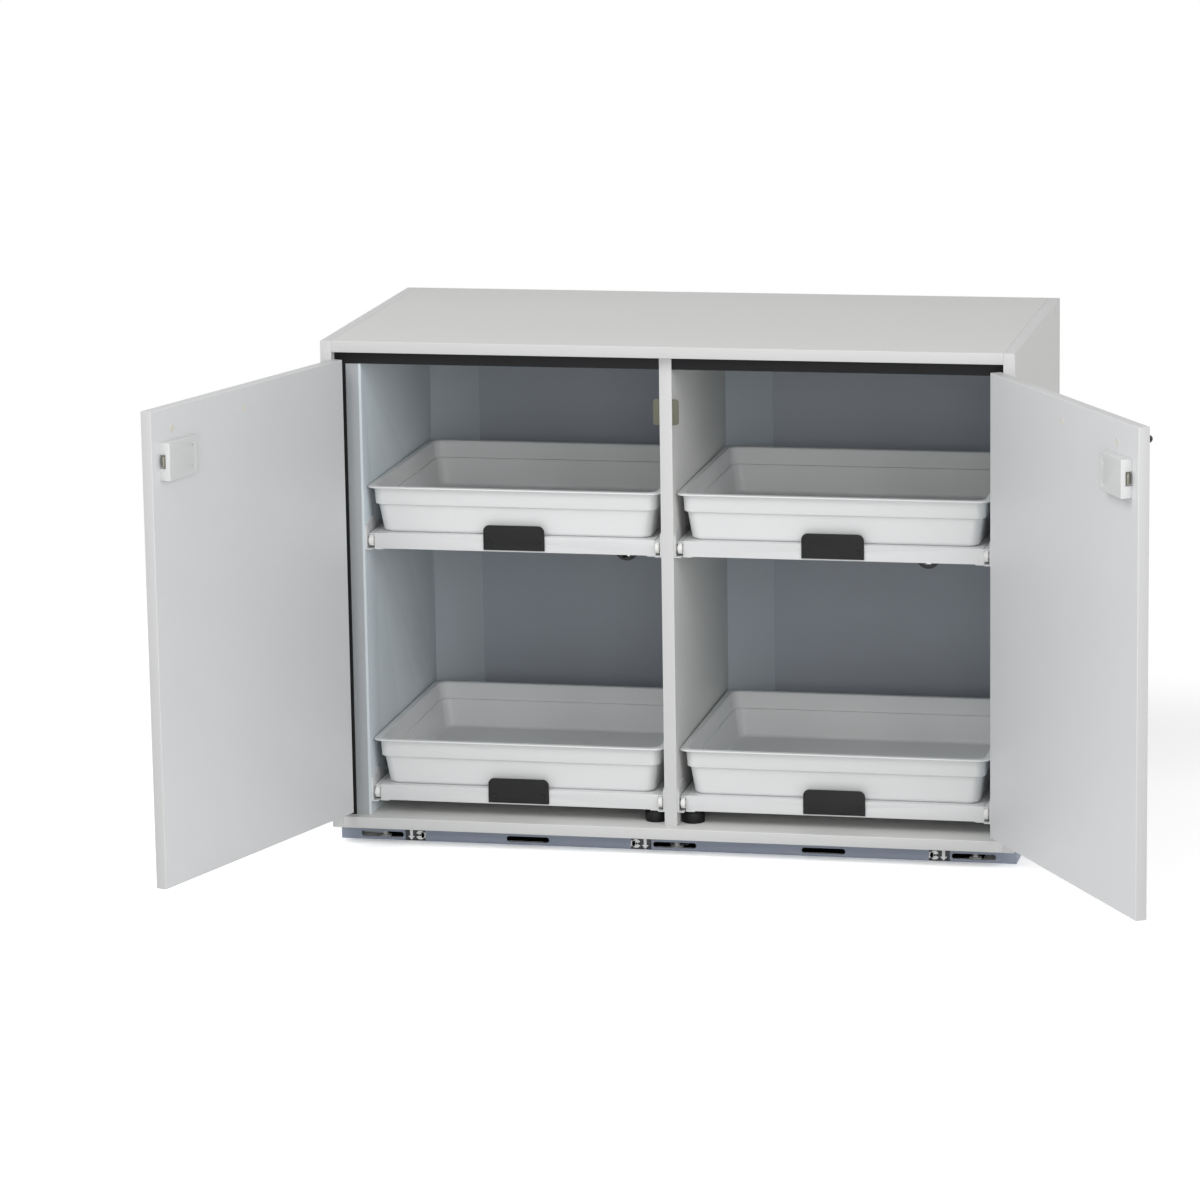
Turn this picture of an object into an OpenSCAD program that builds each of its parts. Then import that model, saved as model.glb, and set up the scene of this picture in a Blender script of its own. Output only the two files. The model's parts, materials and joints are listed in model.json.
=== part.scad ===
// Under-bench cabinet for reagent bottles: two wing doors and four pull-out trays.
// Origin: plan centre of the cabinet at floor level. X runs to the right, Y to the back, Z up.
// The doors stand open and the shelves are pushed in. All sizes are in millimetres.

/* [Cabinet] */
// Overall width of the cabinet, over the side boards
cab_w = 1100; // [1040:10:1200]
// Overall depth of the cabinet, over the boards
cab_d = 570; // [560:5:620]
// Overall height, plinth included
cab_h = 820; // [800:5:900]
// Thickness of the side, top and bottom boards
board_t = 18; // [17:0.5:20]
// Thickness of the divider board
divider_t = 20; // [18:1:22]
// Distance from the boards' front edges back to the divider's front edge
divider_setback = 19; // [18.5:0.5:20]
// Thickness of the back panel
back_t = 8; // [5:0.5:10]
// Free space behind the back panel
back_recess = 16; // [12:1:20]

/* [Plinth] */
// Height of the plinth
plinth_h = 30; // [26:1:40]
// Distance from the boards' front edges back to the plinth's face
plinth_setback = 48; // [40:1:55]
// Distance from each side of the cabinet in to the plinth's end
plinth_inset = 2; // [1:0.5:6]
// Sheet thickness of the plinth
plinth_t = 2; // [1.5:0.25:3]
// Width of the plinth's top flanges
plinth_flange_top = 12; // [8:1:13]
// Width of the plinth's bottom flanges
plinth_flange_low = 7; // [5:0.5:7]
// Number of slots in the plinth's face
slot_count = 5; // [1:2:5]
// Distance from slot to slot
slot_pitch = 240; // [200:2:240]
// Length of a slot
slot_len = 70; // [40:1:80]
// Height of a slot
slot_h = 9; // [7:0.5:10]
// Height of the slots' middle above the floor
slot_z = 9; // [8:0.5:14]
// Width of the middle rail under the cabinet
middle_rail_w = 30; // [20:1:40]

/* [Levelling feet] */
// Diameter of a foot's threaded stud
stud_d = 8; // [6:0.5:10]
// Diameter of a foot's disc
foot_d = 20; // [16:0.5:20]
// Thickness of a foot's disc
foot_t = 4; // [3:0.5:6]
// Distance from the plinth's sheet back to the stud's axis
stud_back = 18; // [17.5:0.5:20]
// Depth of the stud's seat in the bottom board
stud_seat = 12; // [6:0.5:15]
// Length of the adjusting pin
pin_len = 36; // [20:1:40]
// Diameter of the adjusting pin
pin_d = 6; // [4:0.5:7]

/* [Lining] */
// Width of the black seal strips at the sides of the door opening
seal_w = 17.5; // [14:0.5:22]
// Height of the black seal strips above the door opening
seal_h = 20.5; // [14:0.5:24]
// Gap between a closed door and the seal strip
seal_gap = 1; // [0.8:0.1:1.5]
// Thickness of the seal strip, front to back
seal_t = 11; // [8:0.5:12]
// Width of the filler between seal strip and inner wall, on the left
filler_w = 20.5; // [16:0.5:26]
// Distance from the boards' front edges back to the filler's face
filler_setback = 20; // [19:0.5:22]
// Depth of the filler behind the seal strip
filler_deep = 18; // [12:1:24]
// Thickness of the inner walls
liner_t = 4; // [3:0.5:6]
// Thickness of the duct boards
duct_t = 4; // [3:0.5:6]
// Reach of a duct board along the back panel
duct_x = 66; // [50:1:90]
// Reach of a duct board along the side wall
duct_y = 76; // [50:1:76]
// Diameter of an air rosette
rosette_d = 42; // [38:1:60]
// Diameter of the air bore in the back panel
air_bore_d = 35; // [30:0.5:36]
// Thickness of a rosette's flange
rosette_t = 3; // [2:0.5:5]
// Distance from a compartment's middle to its rosette
rosette_dx = 75; // [0:5:120]
// Height of the rosettes above the compartments' floor
rosette_h = 340; // [300:5:360]
// Diameter of the black caps on the floor beside the divider
floor_cap_d = 36; // [24:1:46]
// Distance from the boards' front edges back to those caps
floor_cap_setback = 37; // [30:1:60]
// Height of those caps
floor_cap_h = 19; // [12:0.5:19.5]

/* [Doors] */
// Thickness of the doors
door_t = 18; // [16:0.5:18]
// Gap above and below a door
door_gap = 10; // [3:0.5:12]
// Gap from a door's free edge to the middle of the cabinet
door_mid_gap = 1.5; // [1:0.25:3]
// Opening angle of the left door, as it stands
left_door_angle = 108; // [20:0.5:120]
// Opening angle of the right door, as it stands
right_door_angle = 121.5; // [20:0.5:124]

/* [Hinges] */
// Outer radius of the hinge knuckles
knuckle_r = 2; // [1.8:0.1:2.5]
// Radius of the hinge pins
hinge_pin_r = 1; // [0.8:0.1:1.2]
// Thickness of the hinge leaves
leaf_t = 1; // [0.7:0.1:1.2]
// Width of the hinge leaves behind the front edge
leaf_w = 16; // [14:0.5:17]
// Number of knuckles on a hinge
knuckle_count = 17; // [5:2:21]
// Number of screws in each hinge leaf
leaf_screws = 5; // [2:1:8]
// Radius of a hinge screw's shank
leaf_screw_r = 1.3; // [1:0.1:1.5]
// Length of a hinge screw in the wood
leaf_screw_len = 13; // [8:1:15]

/* [Door handles] */
// Distance between the feet of a handle
handle_span = 192; // [128:1:224]
// Distance from the left door's free edge to the nearer foot
left_handle_edge = 56; // [40:1:90]
// Distance from the right door's free edge to the nearer foot
right_handle_edge = 72; // [40:1:90]
// Distance from a door's top edge down to its handle
handle_drop = 33; // [20:0.5:36]
// Diameter of the handle's bar
bar_d = 11; // [8:0.5:13]
// Reach of the handle in front of the door
handle_reach = 42; // [28:1:45]
// Bend radius of the handle, on the bar's axis
bend_r = 10; // [9:0.5:18]
// Radius of a handle screw's shank
handle_screw_r = 2; // [1.5:0.25:2.5]
// Diameter of the cover plugs over the handle screws
plug_d = 11; // [10:0.5:14]
// How far a cover plug stands proud of the door
plug_proud = 0.6; // [0.3:0.1:1]

/* [Latches] */
// Distance from a door's free edge to the latch housing
latch_edge = 20.5; // [20:0.25:26]
// Length of the latch housing
latch_len = 82; // [76:1:90]
// Height of the latch housing
latch_h = 57; // [50:1:60]
// Thickness of the latch housing at its bolt end
latch_t = 18; // [17:0.5:20]
// Thickness of the latch housing at its far end
latch_far_t = 15; // [14:0.5:17]
// Wall thickness of the latch housing
latch_wall = 2.5; // [2:0.25:3]
// Distance from the compartments' ceiling down to the middle of the latches
latch_drop = 88; // [80:1:130]
// Height of the window that the bolt looks out of
window_h = 21.5; // [19:0.5:26]
// Depth of that window, from the door's face
window_deep = 10.5; // [10:0.25:12]
// Height of the latch bolt
bolt_h = 17; // [12:0.5:17]
// Radius of the latch bolt's round nose
bolt_r = 2.8; // [2.4:0.1:2.8]
// How far the bolt stands out of the housing
bolt_proud = 2.6; // [2:0.1:2.6]
// Length of the latch bolt behind its nose
bolt_len = 28; // [22:1:30]
// Distance from the housing's end to the rib that holds the spring
spring_rib = 53.5; // [50:0.5:56]
// Outer radius of the latch spring
spring_r = 2.5; // [2:0.1:2.7]
// Wire thickness of the latch spring
spring_wire = 0.8; // [0.5:0.1:1]
// Distance from the housing's end to its two screws
latch_screw_x = 66.5; // [62:0.5:68]
// Distance between those screws
latch_screw_pitch = 32; // [29:0.5:34]
// How far the strike plate stands out of the divider on each side
strike_out = 10.5; // [9.5:0.25:10.5]
// Height of the strike plate
strike_h = 41; // [36:1:50]
// Thickness of the strike plate
strike_t = 1.5; // [1:0.25:1.5]
// Distance from the divider's front edge back to the strike plate
strike_back = 2; // [1:0.25:2]
// Corner radius of the strike plate
strike_r = 5; // [3:0.5:7]

/* [Runners] */
// Height of the lower shelf rails above the compartments' floor
rail_gap = 22; // [22:0.5:30]
// Distance from the lower to the upper shelves
shelf_pitch = 412; // [395:1:420]
// Distance from the boards' front edges back to the runners
runner_setback = 22; // [21:0.5:24]
// Length of the runners
runner_len = 440; // [420:5:446]
// Sheet thickness of the runners and slides
sheet_t = 1.5; // [1:0.1:1.5]
// Height of a runner's front bracket at its front edge
bracket_h = 38; // [34:1:44]
// How far the bracket's peak stands above its front edge
bracket_rise = 8; // [2:0.5:12]
// Distance from the bracket's front edge back to its peak
bracket_len = 44; // [30:1:60]
// Thickness of the front bracket
bracket_t = 2.5; // [2:0.1:2.6]
// Height of the runner's wall plate behind the bracket
runner_h = 30; // [26:1:32]
// Height of the channel that the rear rollers run in
channel_h = 19; // [18:0.25:19]
// Radius of the front rollers
front_roller_r = 9; // [8:0.25:9.5]
// Radius of the roller pins
roller_pin_r = 2.4; // [1.8:0.1:3]
// Width of the rollers
roller_w = 6.5; // [5:0.25:6.5]
// Running gap between a roller and its track
roller_gap = 0.3; // [0.2:0.05:0.4]
// Running gap between a roller's bore and its pin
bore_gap = 0.05; // [0.02:0.01:0.08]
// Distance from the runner's front end to the front roller's axis
roller_inset = 12; // [10:0.5:14]
// Radius of a runner screw's shank
runner_screw_r = 1.8; // [1.4:0.1:2]
// Length of a runner screw behind the runner
runner_screw_len = 8; // [6:0.5:8.5]

/* [Shelves] */
// Distance from the boards' front edges back to the shelf rails
rail_setback = 34; // [33:0.5:36]
// Height of the shelf rails
rail_h = 25; // [25:0.5:30]
// Depth of a shelf
shelf_d = 430; // [400:5:430]
// Gap from a compartment's wall to a slide's upright
slide_gap = 12; // [12:0.25:14]
// Width of a slide's bottom flange
slide_flange = 12.5; // [8:0.5:16]
// Height of a slide's upright
slide_h = 24; // [24:0.25:24.5]
// Gap from a compartment's wall to a slide's outer lip
lip_gap = 3; // [2.8:0.1:3.2]
// Height of a slide's outer lip
lip_h = 4.5; // [2:0.25:4.5]

/* [Trays] */
// Gap from a compartment's wall to a tray's rim
tray_gap = 2.5; // [2.5:0.25:10]
// Depth of a tray over its rim
tray_d = 430; // [400:1:430]
// Height of a tray
tray_h = 76; // [60:1:100]
// Distance from the boards' front edges back to a tray's rim
tray_setback = 26; // [23:0.5:32]
// Wall thickness of a tray
tray_wall = 2.5; // [2:0.25:4]
// Thickness of a tray's rim
rim_t = 3; // [2:0.25:4]
// Width of a tray's rim outside the wall
rim_w = 8; // [5:0.5:12]
// Height of a tray's upper band, under the rim
band_h = 27; // [20:1:40]
// Slope of the upper band, top to bottom
band_slope = 1.5; // [0:0.25:3]
// Width of the step between the upper and the lower band
band_step = 3.5; // [2.75:0.25:6]
// Slope of the lower band, top to bottom
low_slope = 6.5; // [2:0.5:10]
// Corner radius of a tray's rim
rim_r = 12; // [6:1:20]

/* [Pull plates] */
// Width of a pull plate
pull_w = 99; // [80:1:120]
// Height of a pull plate
pull_h = 40; // [34:1:44]
// Thickness of a pull plate
pull_t = 2.5; // [2:0.25:4]
// Distance from a rail's bottom edge up to the pull plate
pull_up = 2.5; // [1:0.5:6]
// Radius of a pull plate's upper corners
pull_r = 10; // [4:1:14]
// Distance between the pull plate's screws
pull_screw_pitch = 79; // [60:1:85]
// Distance from a rail's bottom edge up to those screws
pull_screw_up = 14; // [12:0.5:16]
// Radius of those screws' shanks
pull_screw_r = 1.75; // [1.25:0.25:2]

/* [Hidden] */
$fn = 48;

// Names for the two sides and the two levels
left = -1;
right = 1;
lower = 0;
upper = 1;

// The carcass
front_y = -cab_d / 2;
in_x = cab_w / 2 - board_t;
bay_floor = plinth_h + board_t;
bay_top = cab_h - board_t;
bay_h = bay_top - bay_floor;
back_y = cab_d / 2 - back_recess - back_t;
cut = 1;

// The plinth and its feet
plinth_x = cab_w / 2 - plinth_inset;
plinth_y = front_y + plinth_setback;
foot_x = [for (i = [-1:1]) i * slot_pitch * 2];
foot_y = plinth_y + plinth_t + stud_back;
pin_seat = 3;
rail_clear = 6;

// Black caps on the floor
floor_cap_gap = 2;
floor_cap_step = 2;

// Caps over the connectors that join the side boards to the top board
cap_margin = 1;
cap_r = board_t / 2 - cap_margin;
cap_deep = 5;
cap_count = 3;
cap_inset = 65;

// The doors, drawn closed and on the left
hinge_x = in_x - knuckle_r;
hinge_clear = 0.2;
hinge_y = front_y - knuckle_r - hinge_clear;
door_x = in_x - 2 * knuckle_r;
door_w = door_x - door_mid_gap;
door_z = bay_floor + door_gap;
door_h = bay_h - 2 * door_gap;
door_face = front_y + door_t;
leaf_margin = 5;
leaf_h = door_h - 2 * leaf_margin;
knuckle_gap = 0.15;
knuckle_len = leaf_h / knuckle_count;
leaf_head_r = leaf_screw_r * 2;
leaf_screw_y = front_y + door_t / 2;

// The handles and their screws
handle_z = door_z + door_h - handle_drop;
bar_y = front_y - handle_reach + bar_d / 2;
screw_head_r = 4;
screw_head_t = 3;
plug_seat = 6;
handle_thread = 8;

// The latches
latch_end = -door_mid_gap - latch_edge;
latch_mid_z = bay_top - latch_drop;
strike_front = front_y + divider_setback + strike_back;
strike_half = divider_t / 2 + strike_out;
strike_clear = 0.2;
nose_x = latch_end - bolt_r + bolt_proud;
nose_reach = nose_x + strike_half;
bolt_y = strike_front + strike_t + strike_clear + sqrt(bolt_r * bolt_r - nose_reach * nose_reach);
bolt_clear = 0.3;
rib_t = 2;
latch_corner = 1.5;
latch_inner_corner = 0.5;
roof_slack = 0.75;
latch_far_corner = 4;
latch_screw_r = 1.75;
latch_thread = 11;
latch_boss_r = 5;
latch_boss_h = 12.5;
latch_head_t = 2;

// The runners, slides, shelves and rollers, seen from the wall that carries them
runner_y = front_y + runner_setback;
rail_y = front_y + rail_setback;
flange_w = slide_gap - 1;
lip_x = lip_gap + sheet_t;
roller_side_gap = 0.5;
roller_x = lip_x + roller_side_gap;
front_roller_y = runner_y + roller_inset;
front_roller_up = slide_h - sheet_t - roller_gap - front_roller_r;
rear_roller_r = channel_h / 2 - sheet_t - roller_gap;
rear_roller_up = channel_h / 2;
rear_roller_y = rail_y + shelf_d - roller_inset;
channel_clear = 5;
channel_start = roller_inset + front_roller_r + channel_clear;
bracket_corner = 4;
bracket_flat = 6;
bracket_slope = 30;
boss_wall = 2;
boss_r = roller_pin_r + boss_wall;
runner_screw_y = [70, 230, 400];
runner_head_r = 3.4;

// The trays, from the rim inwards
band_in = rim_w + band_slope;
low_in = band_in + band_step;
base_in = low_in + low_slope;
low_h = tray_h - rim_t - band_h;

function open_angle(side) = side == left ? left_door_angle : right_door_angle;
function handle_edge(side) = side == left ? left_handle_edge : right_handle_edge;
function handle_feet(side) = [for (span = [0, handle_span]) -door_mid_gap - handle_edge(side) - span];
function wall_x(side) = in_x - seal_w - liner_t - (side == left ? filler_w : 0);
function bay_w(side) = wall_x(side) - divider_t / 2;
function bay_x(side) = side * (divider_t + bay_w(side)) / 2;
function rail_z(level) = bay_floor + rail_gap + level * shelf_pitch;
function arc(cx, cy, r, from, to, steps = 8) =
    [for (i = [0:steps]) let (a = from + (to - from) * i / steps) [cx + r * cos(a), cy + r * sin(a)]];
function leaf_screw_z(i) = door_z + leaf_margin + leaf_h * (i + 0.5) / leaf_screws;

// ---------------------------------------------------------------- helpers

// A box between two corners
module block(low, high) {
    translate(low) cube(high - low);
}

// A cylinder that points along X
module rod_x(at, r, len) {
    translate(at) rotate([0, 90, 0]) cylinder(r = r, h = len);
}

// A cylinder that points along Y
module rod_y(at, r, len) {
    translate(at) rotate([-90, 0, 0]) cylinder(r = r, h = len);
}

// A flat outline of a rectangle with round corners, centred
module round_rect(w, d, r) {
    square([w - 2 * r, d], center = true);
    square([w, d - 2 * r], center = true);
    for (x = [-1, 1], y = [-1, 1]) translate([x * (w / 2 - r), y * (d / 2 - r)]) circle(r);
}

// Copies what is drawn on the left to the given side
module on_side(side) {
    mirror([side == right ? 1 : 0, 0, 0]) children();
}

// Swings what is drawn on the closed left door to where that side's door stands
module on_door(side) {
    on_side(side) translate([-hinge_x, hinge_y, 0]) rotate([0, 0, -open_angle(side)])
        translate([hinge_x, -hinge_y, 0]) children();
}

// Draws on both walls of a compartment: X then runs from the wall into the compartment
module on_walls(side) {
    for (hand = [left, right]) translate([bay_x(side) + hand * bay_w(side) / 2, 0, 0])
        mirror([hand == right ? 1 : 0, 0, 0]) children();
}

// ---------------------------------------------------------------- carcass

module cap_seats(len) {
    for (i = [0:cap_count - 1])
        let (y = front_y + cap_inset + i * (cab_d - 2 * cap_inset) / (cap_count - 1))
            rod_x([-cab_w / 2, y, cab_h - board_t / 2], cap_r, len);
}

module side_panel(side) {
    color("gainsboro") on_side(side) difference() {
        block([-cab_w / 2, front_y, plinth_h], [-in_x, cab_d / 2, cab_h]);
        translate([-cut, 0, 0]) cap_seats(cap_deep + cut);
        frame_leaf_screws(-in_x - leaf_screw_len, leaf_screw_len + cut);
    }
}

module top_panel() {
    color("gainsboro") block([-in_x, front_y, bay_top], [in_x, cab_d / 2, cab_h]);
}

module bottom_panel() {
    color("gainsboro") difference() {
        block([-in_x, front_y, plinth_h], [in_x, cab_d / 2, bay_floor]);
        stud_places() translate([0, 0, plinth_h - cut]) cylinder(d = stud_d, h = stud_seat + cut);
    }
}

module back_panel() {
    color("lightslategray") difference() {
        block([-in_x, back_y, bay_floor], [in_x, back_y + back_t, bay_top]);
        rosette_places() rod_y([0, back_y - cut, 0], air_bore_d / 2, back_t + 2 * cut);
    }
}

module divider_panel() {
    color("whitesmoke") difference() {
        block([-divider_t / 2, front_y + divider_setback, bay_floor], [divider_t / 2, back_y, bay_top]);
        translate([0, strike_front, latch_mid_z])
            block([-divider_t / 2 - cut, 0, -strike_h / 2], [divider_t / 2 + cut, strike_t, strike_h / 2]);
        for (side = [left, right]) runner_screw_places(side) runner_screw();
    }
}

module inner_walls() {
    seal_back = door_face + seal_gap + seal_t;
    color("lightslategray") for (side = [left, right]) difference() {
        inner = wall_x(side);
        on_side(side) difference() {
            block([-inner - liner_t, front_y + filler_setback, bay_floor], [-inner, back_y, bay_top]);
            block([-inner - liner_t - cut, front_y, bay_top - seal_h],
                  [-inner + cut, seal_back, bay_top + cut]);
        }
        runner_screw_places(side) runner_screw();
    }
}

// The filler beside the left seal strip, and the posts behind both seal strips
module hinge_fillers() {
    seal_back = door_face + seal_gap + seal_t;
    outer = wall_x(left) + liner_t;
    color("silver") {
        block([seal_w - in_x, front_y + filler_setback, bay_floor], [-outer, seal_back, bay_top - seal_h]);
        for (side = [left, right]) on_side(side)
            block([-in_x, seal_back, bay_floor], [-wall_x(side) - liner_t, seal_back + filler_deep, bay_top]);
    }
}

module seal_strips() {
    seal_front = door_face + seal_gap;
    color("black") for (side = [left, right]) on_side(side) {
        block([-in_x, seal_front, bay_top - seal_h], [-divider_t / 2, seal_front + seal_t, bay_top]);
        block([-in_x, seal_front, bay_floor], [-in_x + seal_w, seal_front + seal_t, bay_top - seal_h]);
    }
}

// A slanted board that closes the left rear corner of each compartment, with a duct behind it
module duct_boards() {
    slant = sqrt(duct_x * duct_x + duct_y * duct_y);
    color("lightslategray") for (side = [left, right])
        translate([bay_x(side) - bay_w(side) / 2, back_y, bay_floor])
            linear_extrude(bay_h) polygon([[0, -duct_y], [duct_x, 0],
                [duct_x - duct_t * slant / duct_y, 0], [0, duct_t * slant / duct_x - duct_y]]);
}

module rosette_places() {
    for (side = [left, right]) translate([bay_x(side) + rosette_dx, 0, bay_floor + rosette_h]) children();
}

module vent_rosettes() {
    ring_w = 6;
    hub_r = 7;
    spoke_w = 3;
    spoke_end = rosette_d / 2 - ring_w / 2;
    sleeve_t = 2.5;
    hub_dimple_r = 2;
    color("dimgray") rosette_places() difference() {
        union() {
            difference() {
                rod_y([0, back_y - rosette_t, 0], rosette_d / 2, rosette_t);
                rod_y([0, back_y - rosette_t - cut, 0], rosette_d / 2 - ring_w, rosette_t + 2 * cut);
            }
            rod_y([0, back_y - rosette_t, 0], hub_r, rosette_t);
            for (a = [0:60:120]) rotate([0, a, 0])
                block([-spoke_end, back_y - rosette_t, -spoke_w / 2], [spoke_end, back_y, spoke_w / 2]);
            difference() {
                rod_y([0, back_y, 0], air_bore_d / 2, back_t);
                rod_y([0, back_y - cut, 0], air_bore_d / 2 - sleeve_t, back_t + 2 * cut);
            }
        }
        rod_y([0, back_y - rosette_t - cut, 0], hub_dimple_r, rosette_t);
    }
}

module floor_caps() {
    color("black") for (side = [left, right]) on_side(side)
        translate([-divider_t / 2 - floor_cap_gap - floor_cap_d / 2,
                   front_y + floor_cap_setback + floor_cap_d / 2, bay_floor]) {
            cylinder(d = floor_cap_d, h = floor_cap_h - floor_cap_step);
            cylinder(r = floor_cap_d / 2 - floor_cap_step, h = floor_cap_h);
        }
}

module connector_caps() {
    color("lightgray") for (side = [left, right]) on_side(side) cap_seats(cap_deep);
}

module strike_plate() {
    color("darkolivegreen") translate([0, strike_front, latch_mid_z]) rotate([-90, 0, 0])
        linear_extrude(strike_t) round_rect(2 * strike_half, strike_h, strike_r);
}

// ---------------------------------------------------------------- plinth

module plinth_front_rail() {
    flange_x = plinth_x - plinth_t;
    color("slategray") difference() {
        union() {
            block([-plinth_x, plinth_y, 0], [plinth_x, plinth_y + plinth_t, plinth_h]);
            block([-flange_x, plinth_y + plinth_t, plinth_h - plinth_t],
                  [flange_x, plinth_y + plinth_t + plinth_flange_top, plinth_h]);
            block([-flange_x, plinth_y + plinth_t, 0],
                  [flange_x, plinth_y + plinth_t + plinth_flange_low, plinth_t]);
        }
        for (i = [0:slot_count - 1]) translate([(i - (slot_count - 1) / 2) * slot_pitch, 0, slot_z]) {
            ends = (slot_len - slot_h) / 2;
            block([-ends, plinth_y - cut, -slot_h / 2], [ends, plinth_y + plinth_t + cut, slot_h / 2]);
            for (x = [-ends, ends]) rod_y([x, plinth_y - cut, 0], slot_h / 2, plinth_t + 2 * cut);
        }
    }
}

module plinth_inner_rails() {
    flange_x = plinth_x - plinth_t;
    rear_y = -plinth_y;
    top_y = rear_y - plinth_t - plinth_flange_top;
    mid_y = rear_y - plinth_t - stud_back - foot_d / 2 - rail_clear;
    color("slategray") {
        // The rear rail
        block([-flange_x, rear_y - plinth_t, 0], [flange_x, rear_y, plinth_h]);
        block([-flange_x, top_y, plinth_h - plinth_t], [flange_x, rear_y - plinth_t, plinth_h]);
        // The two side rails
        for (side = [left, right]) on_side(side) {
            block([-plinth_x, plinth_y + plinth_t, 0], [-flange_x, rear_y, plinth_h]);
            block([-flange_x, -top_y, plinth_h - plinth_t], [-flange_x + plinth_flange_top, top_y, plinth_h]);
        }
        // The middle rail, an upturned channel
        block([-middle_rail_w / 2, -mid_y, 0], [middle_rail_w / 2, mid_y, plinth_t]);
        for (side = [left, right]) on_side(side)
            block([-middle_rail_w / 2, -mid_y, plinth_t], [-middle_rail_w / 2 + plinth_t, mid_y, plinth_h]);
    }
}

module stud_places() {
    for (x = foot_x, y = [foot_y, -foot_y]) translate([x, y, 0]) children();
}

// The feet, with the pin that turns the left front one in its cross bore
module levelling_feet() {
    pin_end = foot_x[0] - stud_d / 2 + pin_seat;
    color("white") difference() {
        stud_places() {
            cylinder(d = foot_d, h = foot_t);
            cylinder(d = stud_d, h = plinth_h + stud_seat);
        }
        rod_x([pin_end - pin_len, foot_y, slot_z], pin_d / 2 + bore_gap, pin_len + bore_gap);
    }
    color("silver") rod_x([pin_end - pin_len, foot_y, slot_z], pin_d / 2, pin_len);
}

// ---------------------------------------------------------------- hinges

// The knuckles of one leaf: the frame leaf has the even ones, the door leaf the odd ones
module knuckles(first, inner_x, outer_x) {
    for (i = [first:2:knuckle_count - 1]) {
        z = door_z + leaf_margin + i * knuckle_len + knuckle_gap;
        translate([-hinge_x, hinge_y, z]) cylinder(r = knuckle_r, h = knuckle_len - 2 * knuckle_gap);
        block([inner_x, hinge_y, z], [outer_x, front_y, z + knuckle_len - 2 * knuckle_gap]);
    }
}

// Hinge screw bores or shanks along X, for the leaf on the side board
module frame_leaf_screws(x, len) {
    for (i = [0:leaf_screws - 1]) rod_x([x, leaf_screw_y, leaf_screw_z(i)], leaf_screw_r, len);
}

module frame_leaf_heads() {
    for (i = [0:leaf_screws - 1]) translate([-in_x, leaf_screw_y, leaf_screw_z(i)]) rotate([0, 90, 0])
        cylinder(r1 = leaf_screw_r, r2 = leaf_head_r, h = leaf_t);
}

module door_leaf_heads() {
    for (i = [0:leaf_screws - 1]) translate([-door_x - leaf_t, leaf_screw_y, leaf_screw_z(i)])
        rotate([0, 90, 0]) cylinder(r1 = leaf_head_r, r2 = leaf_screw_r, h = leaf_t);
}

module hinge_frame_leaves() {
    color("silver") for (side = [left, right]) on_side(side) {
        difference() {
            block([-in_x, front_y, door_z + leaf_margin],
                  [-in_x + leaf_t, front_y + leaf_w, door_z + leaf_margin + leaf_h]);
            frame_leaf_heads();
        }
        knuckles(0, -in_x, -in_x + leaf_t);
        translate([-hinge_x, hinge_y, door_z + leaf_margin]) cylinder(r = hinge_pin_r, h = leaf_h);
    }
}

module door_hinge_leaf(side) {
    color("silver") on_door(side) difference() {
        union() {
            block([-door_x - leaf_t, front_y, door_z + leaf_margin],
                  [-door_x, front_y + leaf_w, door_z + leaf_margin + leaf_h]);
            knuckles(1, -door_x - leaf_t, -door_x);
        }
        door_leaf_heads();
        translate([-hinge_x, hinge_y, door_z]) cylinder(r = hinge_pin_r + bore_gap, h = door_h);
    }
}

// ---------------------------------------------------------------- doors

module door_panel(side) {
    color("lightgray") on_door(side) difference() {
        block([-door_x, front_y, door_z], [-door_mid_gap, door_face, door_z + door_h]);
        for (x = handle_feet(side)) {
            rod_y([x, front_y - cut, handle_z], handle_screw_r, door_t + cut);
            rod_y([x, door_face - plug_seat, handle_z], plug_d / 2, plug_seat + cut);
        }
        latch_screw_places() rod_y([0, door_face - latch_thread, 0], latch_screw_r, latch_thread + cut);
        for (i = [0:leaf_screws - 1])
            rod_x([-door_x - cut, leaf_screw_y, leaf_screw_z(i)], leaf_screw_r, leaf_screw_len + cut);
    }
}

module door_handle(side) {
    foot_len = handle_reach - bar_d / 2 - bend_r;
    feet = handle_feet(side);
    color("black") on_door(side) difference() {
        union() {
            for (x = feet) rod_y([x, front_y - foot_len, handle_z], bar_d / 2, foot_len);
            rod_x([feet[1] + bend_r, bar_y, handle_z], bar_d / 2, handle_span - 2 * bend_r);
            translate([feet[0] - bend_r, bar_y + bend_r, handle_z]) rotate([0, 0, -90]) bar_bend();
            translate([feet[1] + bend_r, bar_y + bend_r, handle_z]) rotate([0, 0, 180]) bar_bend();
        }
        for (x = feet)
            rod_y([x, front_y - handle_thread, handle_z], handle_screw_r, handle_thread + cut);
    }
}

module bar_bend() {
    rotate_extrude(angle = 90) translate([bend_r, 0]) circle(d = bar_d);
}

// The screws of the handle, of the latch housing and of the hinge leaf
module door_screws(side) {
    head_y = door_face - plug_seat;
    color("silver") on_door(side) {
        for (x = handle_feet(side)) {
            rod_y([x, front_y - handle_thread, handle_z], handle_screw_r, handle_thread + door_t - plug_seat);
            rod_y([x, head_y, handle_z], screw_head_r, screw_head_t);
        }
        latch_screw_places() {
            rod_y([0, door_face - latch_thread, 0], latch_screw_r, latch_thread + latch_boss_h);
            rod_y([0, door_face + latch_boss_h, 0], screw_head_r, latch_head_t);
        }
        door_leaf_heads();
        for (i = [0:leaf_screws - 1])
            rod_x([-door_x, leaf_screw_y, leaf_screw_z(i)], leaf_screw_r, leaf_screw_len);
    }
}

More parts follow.
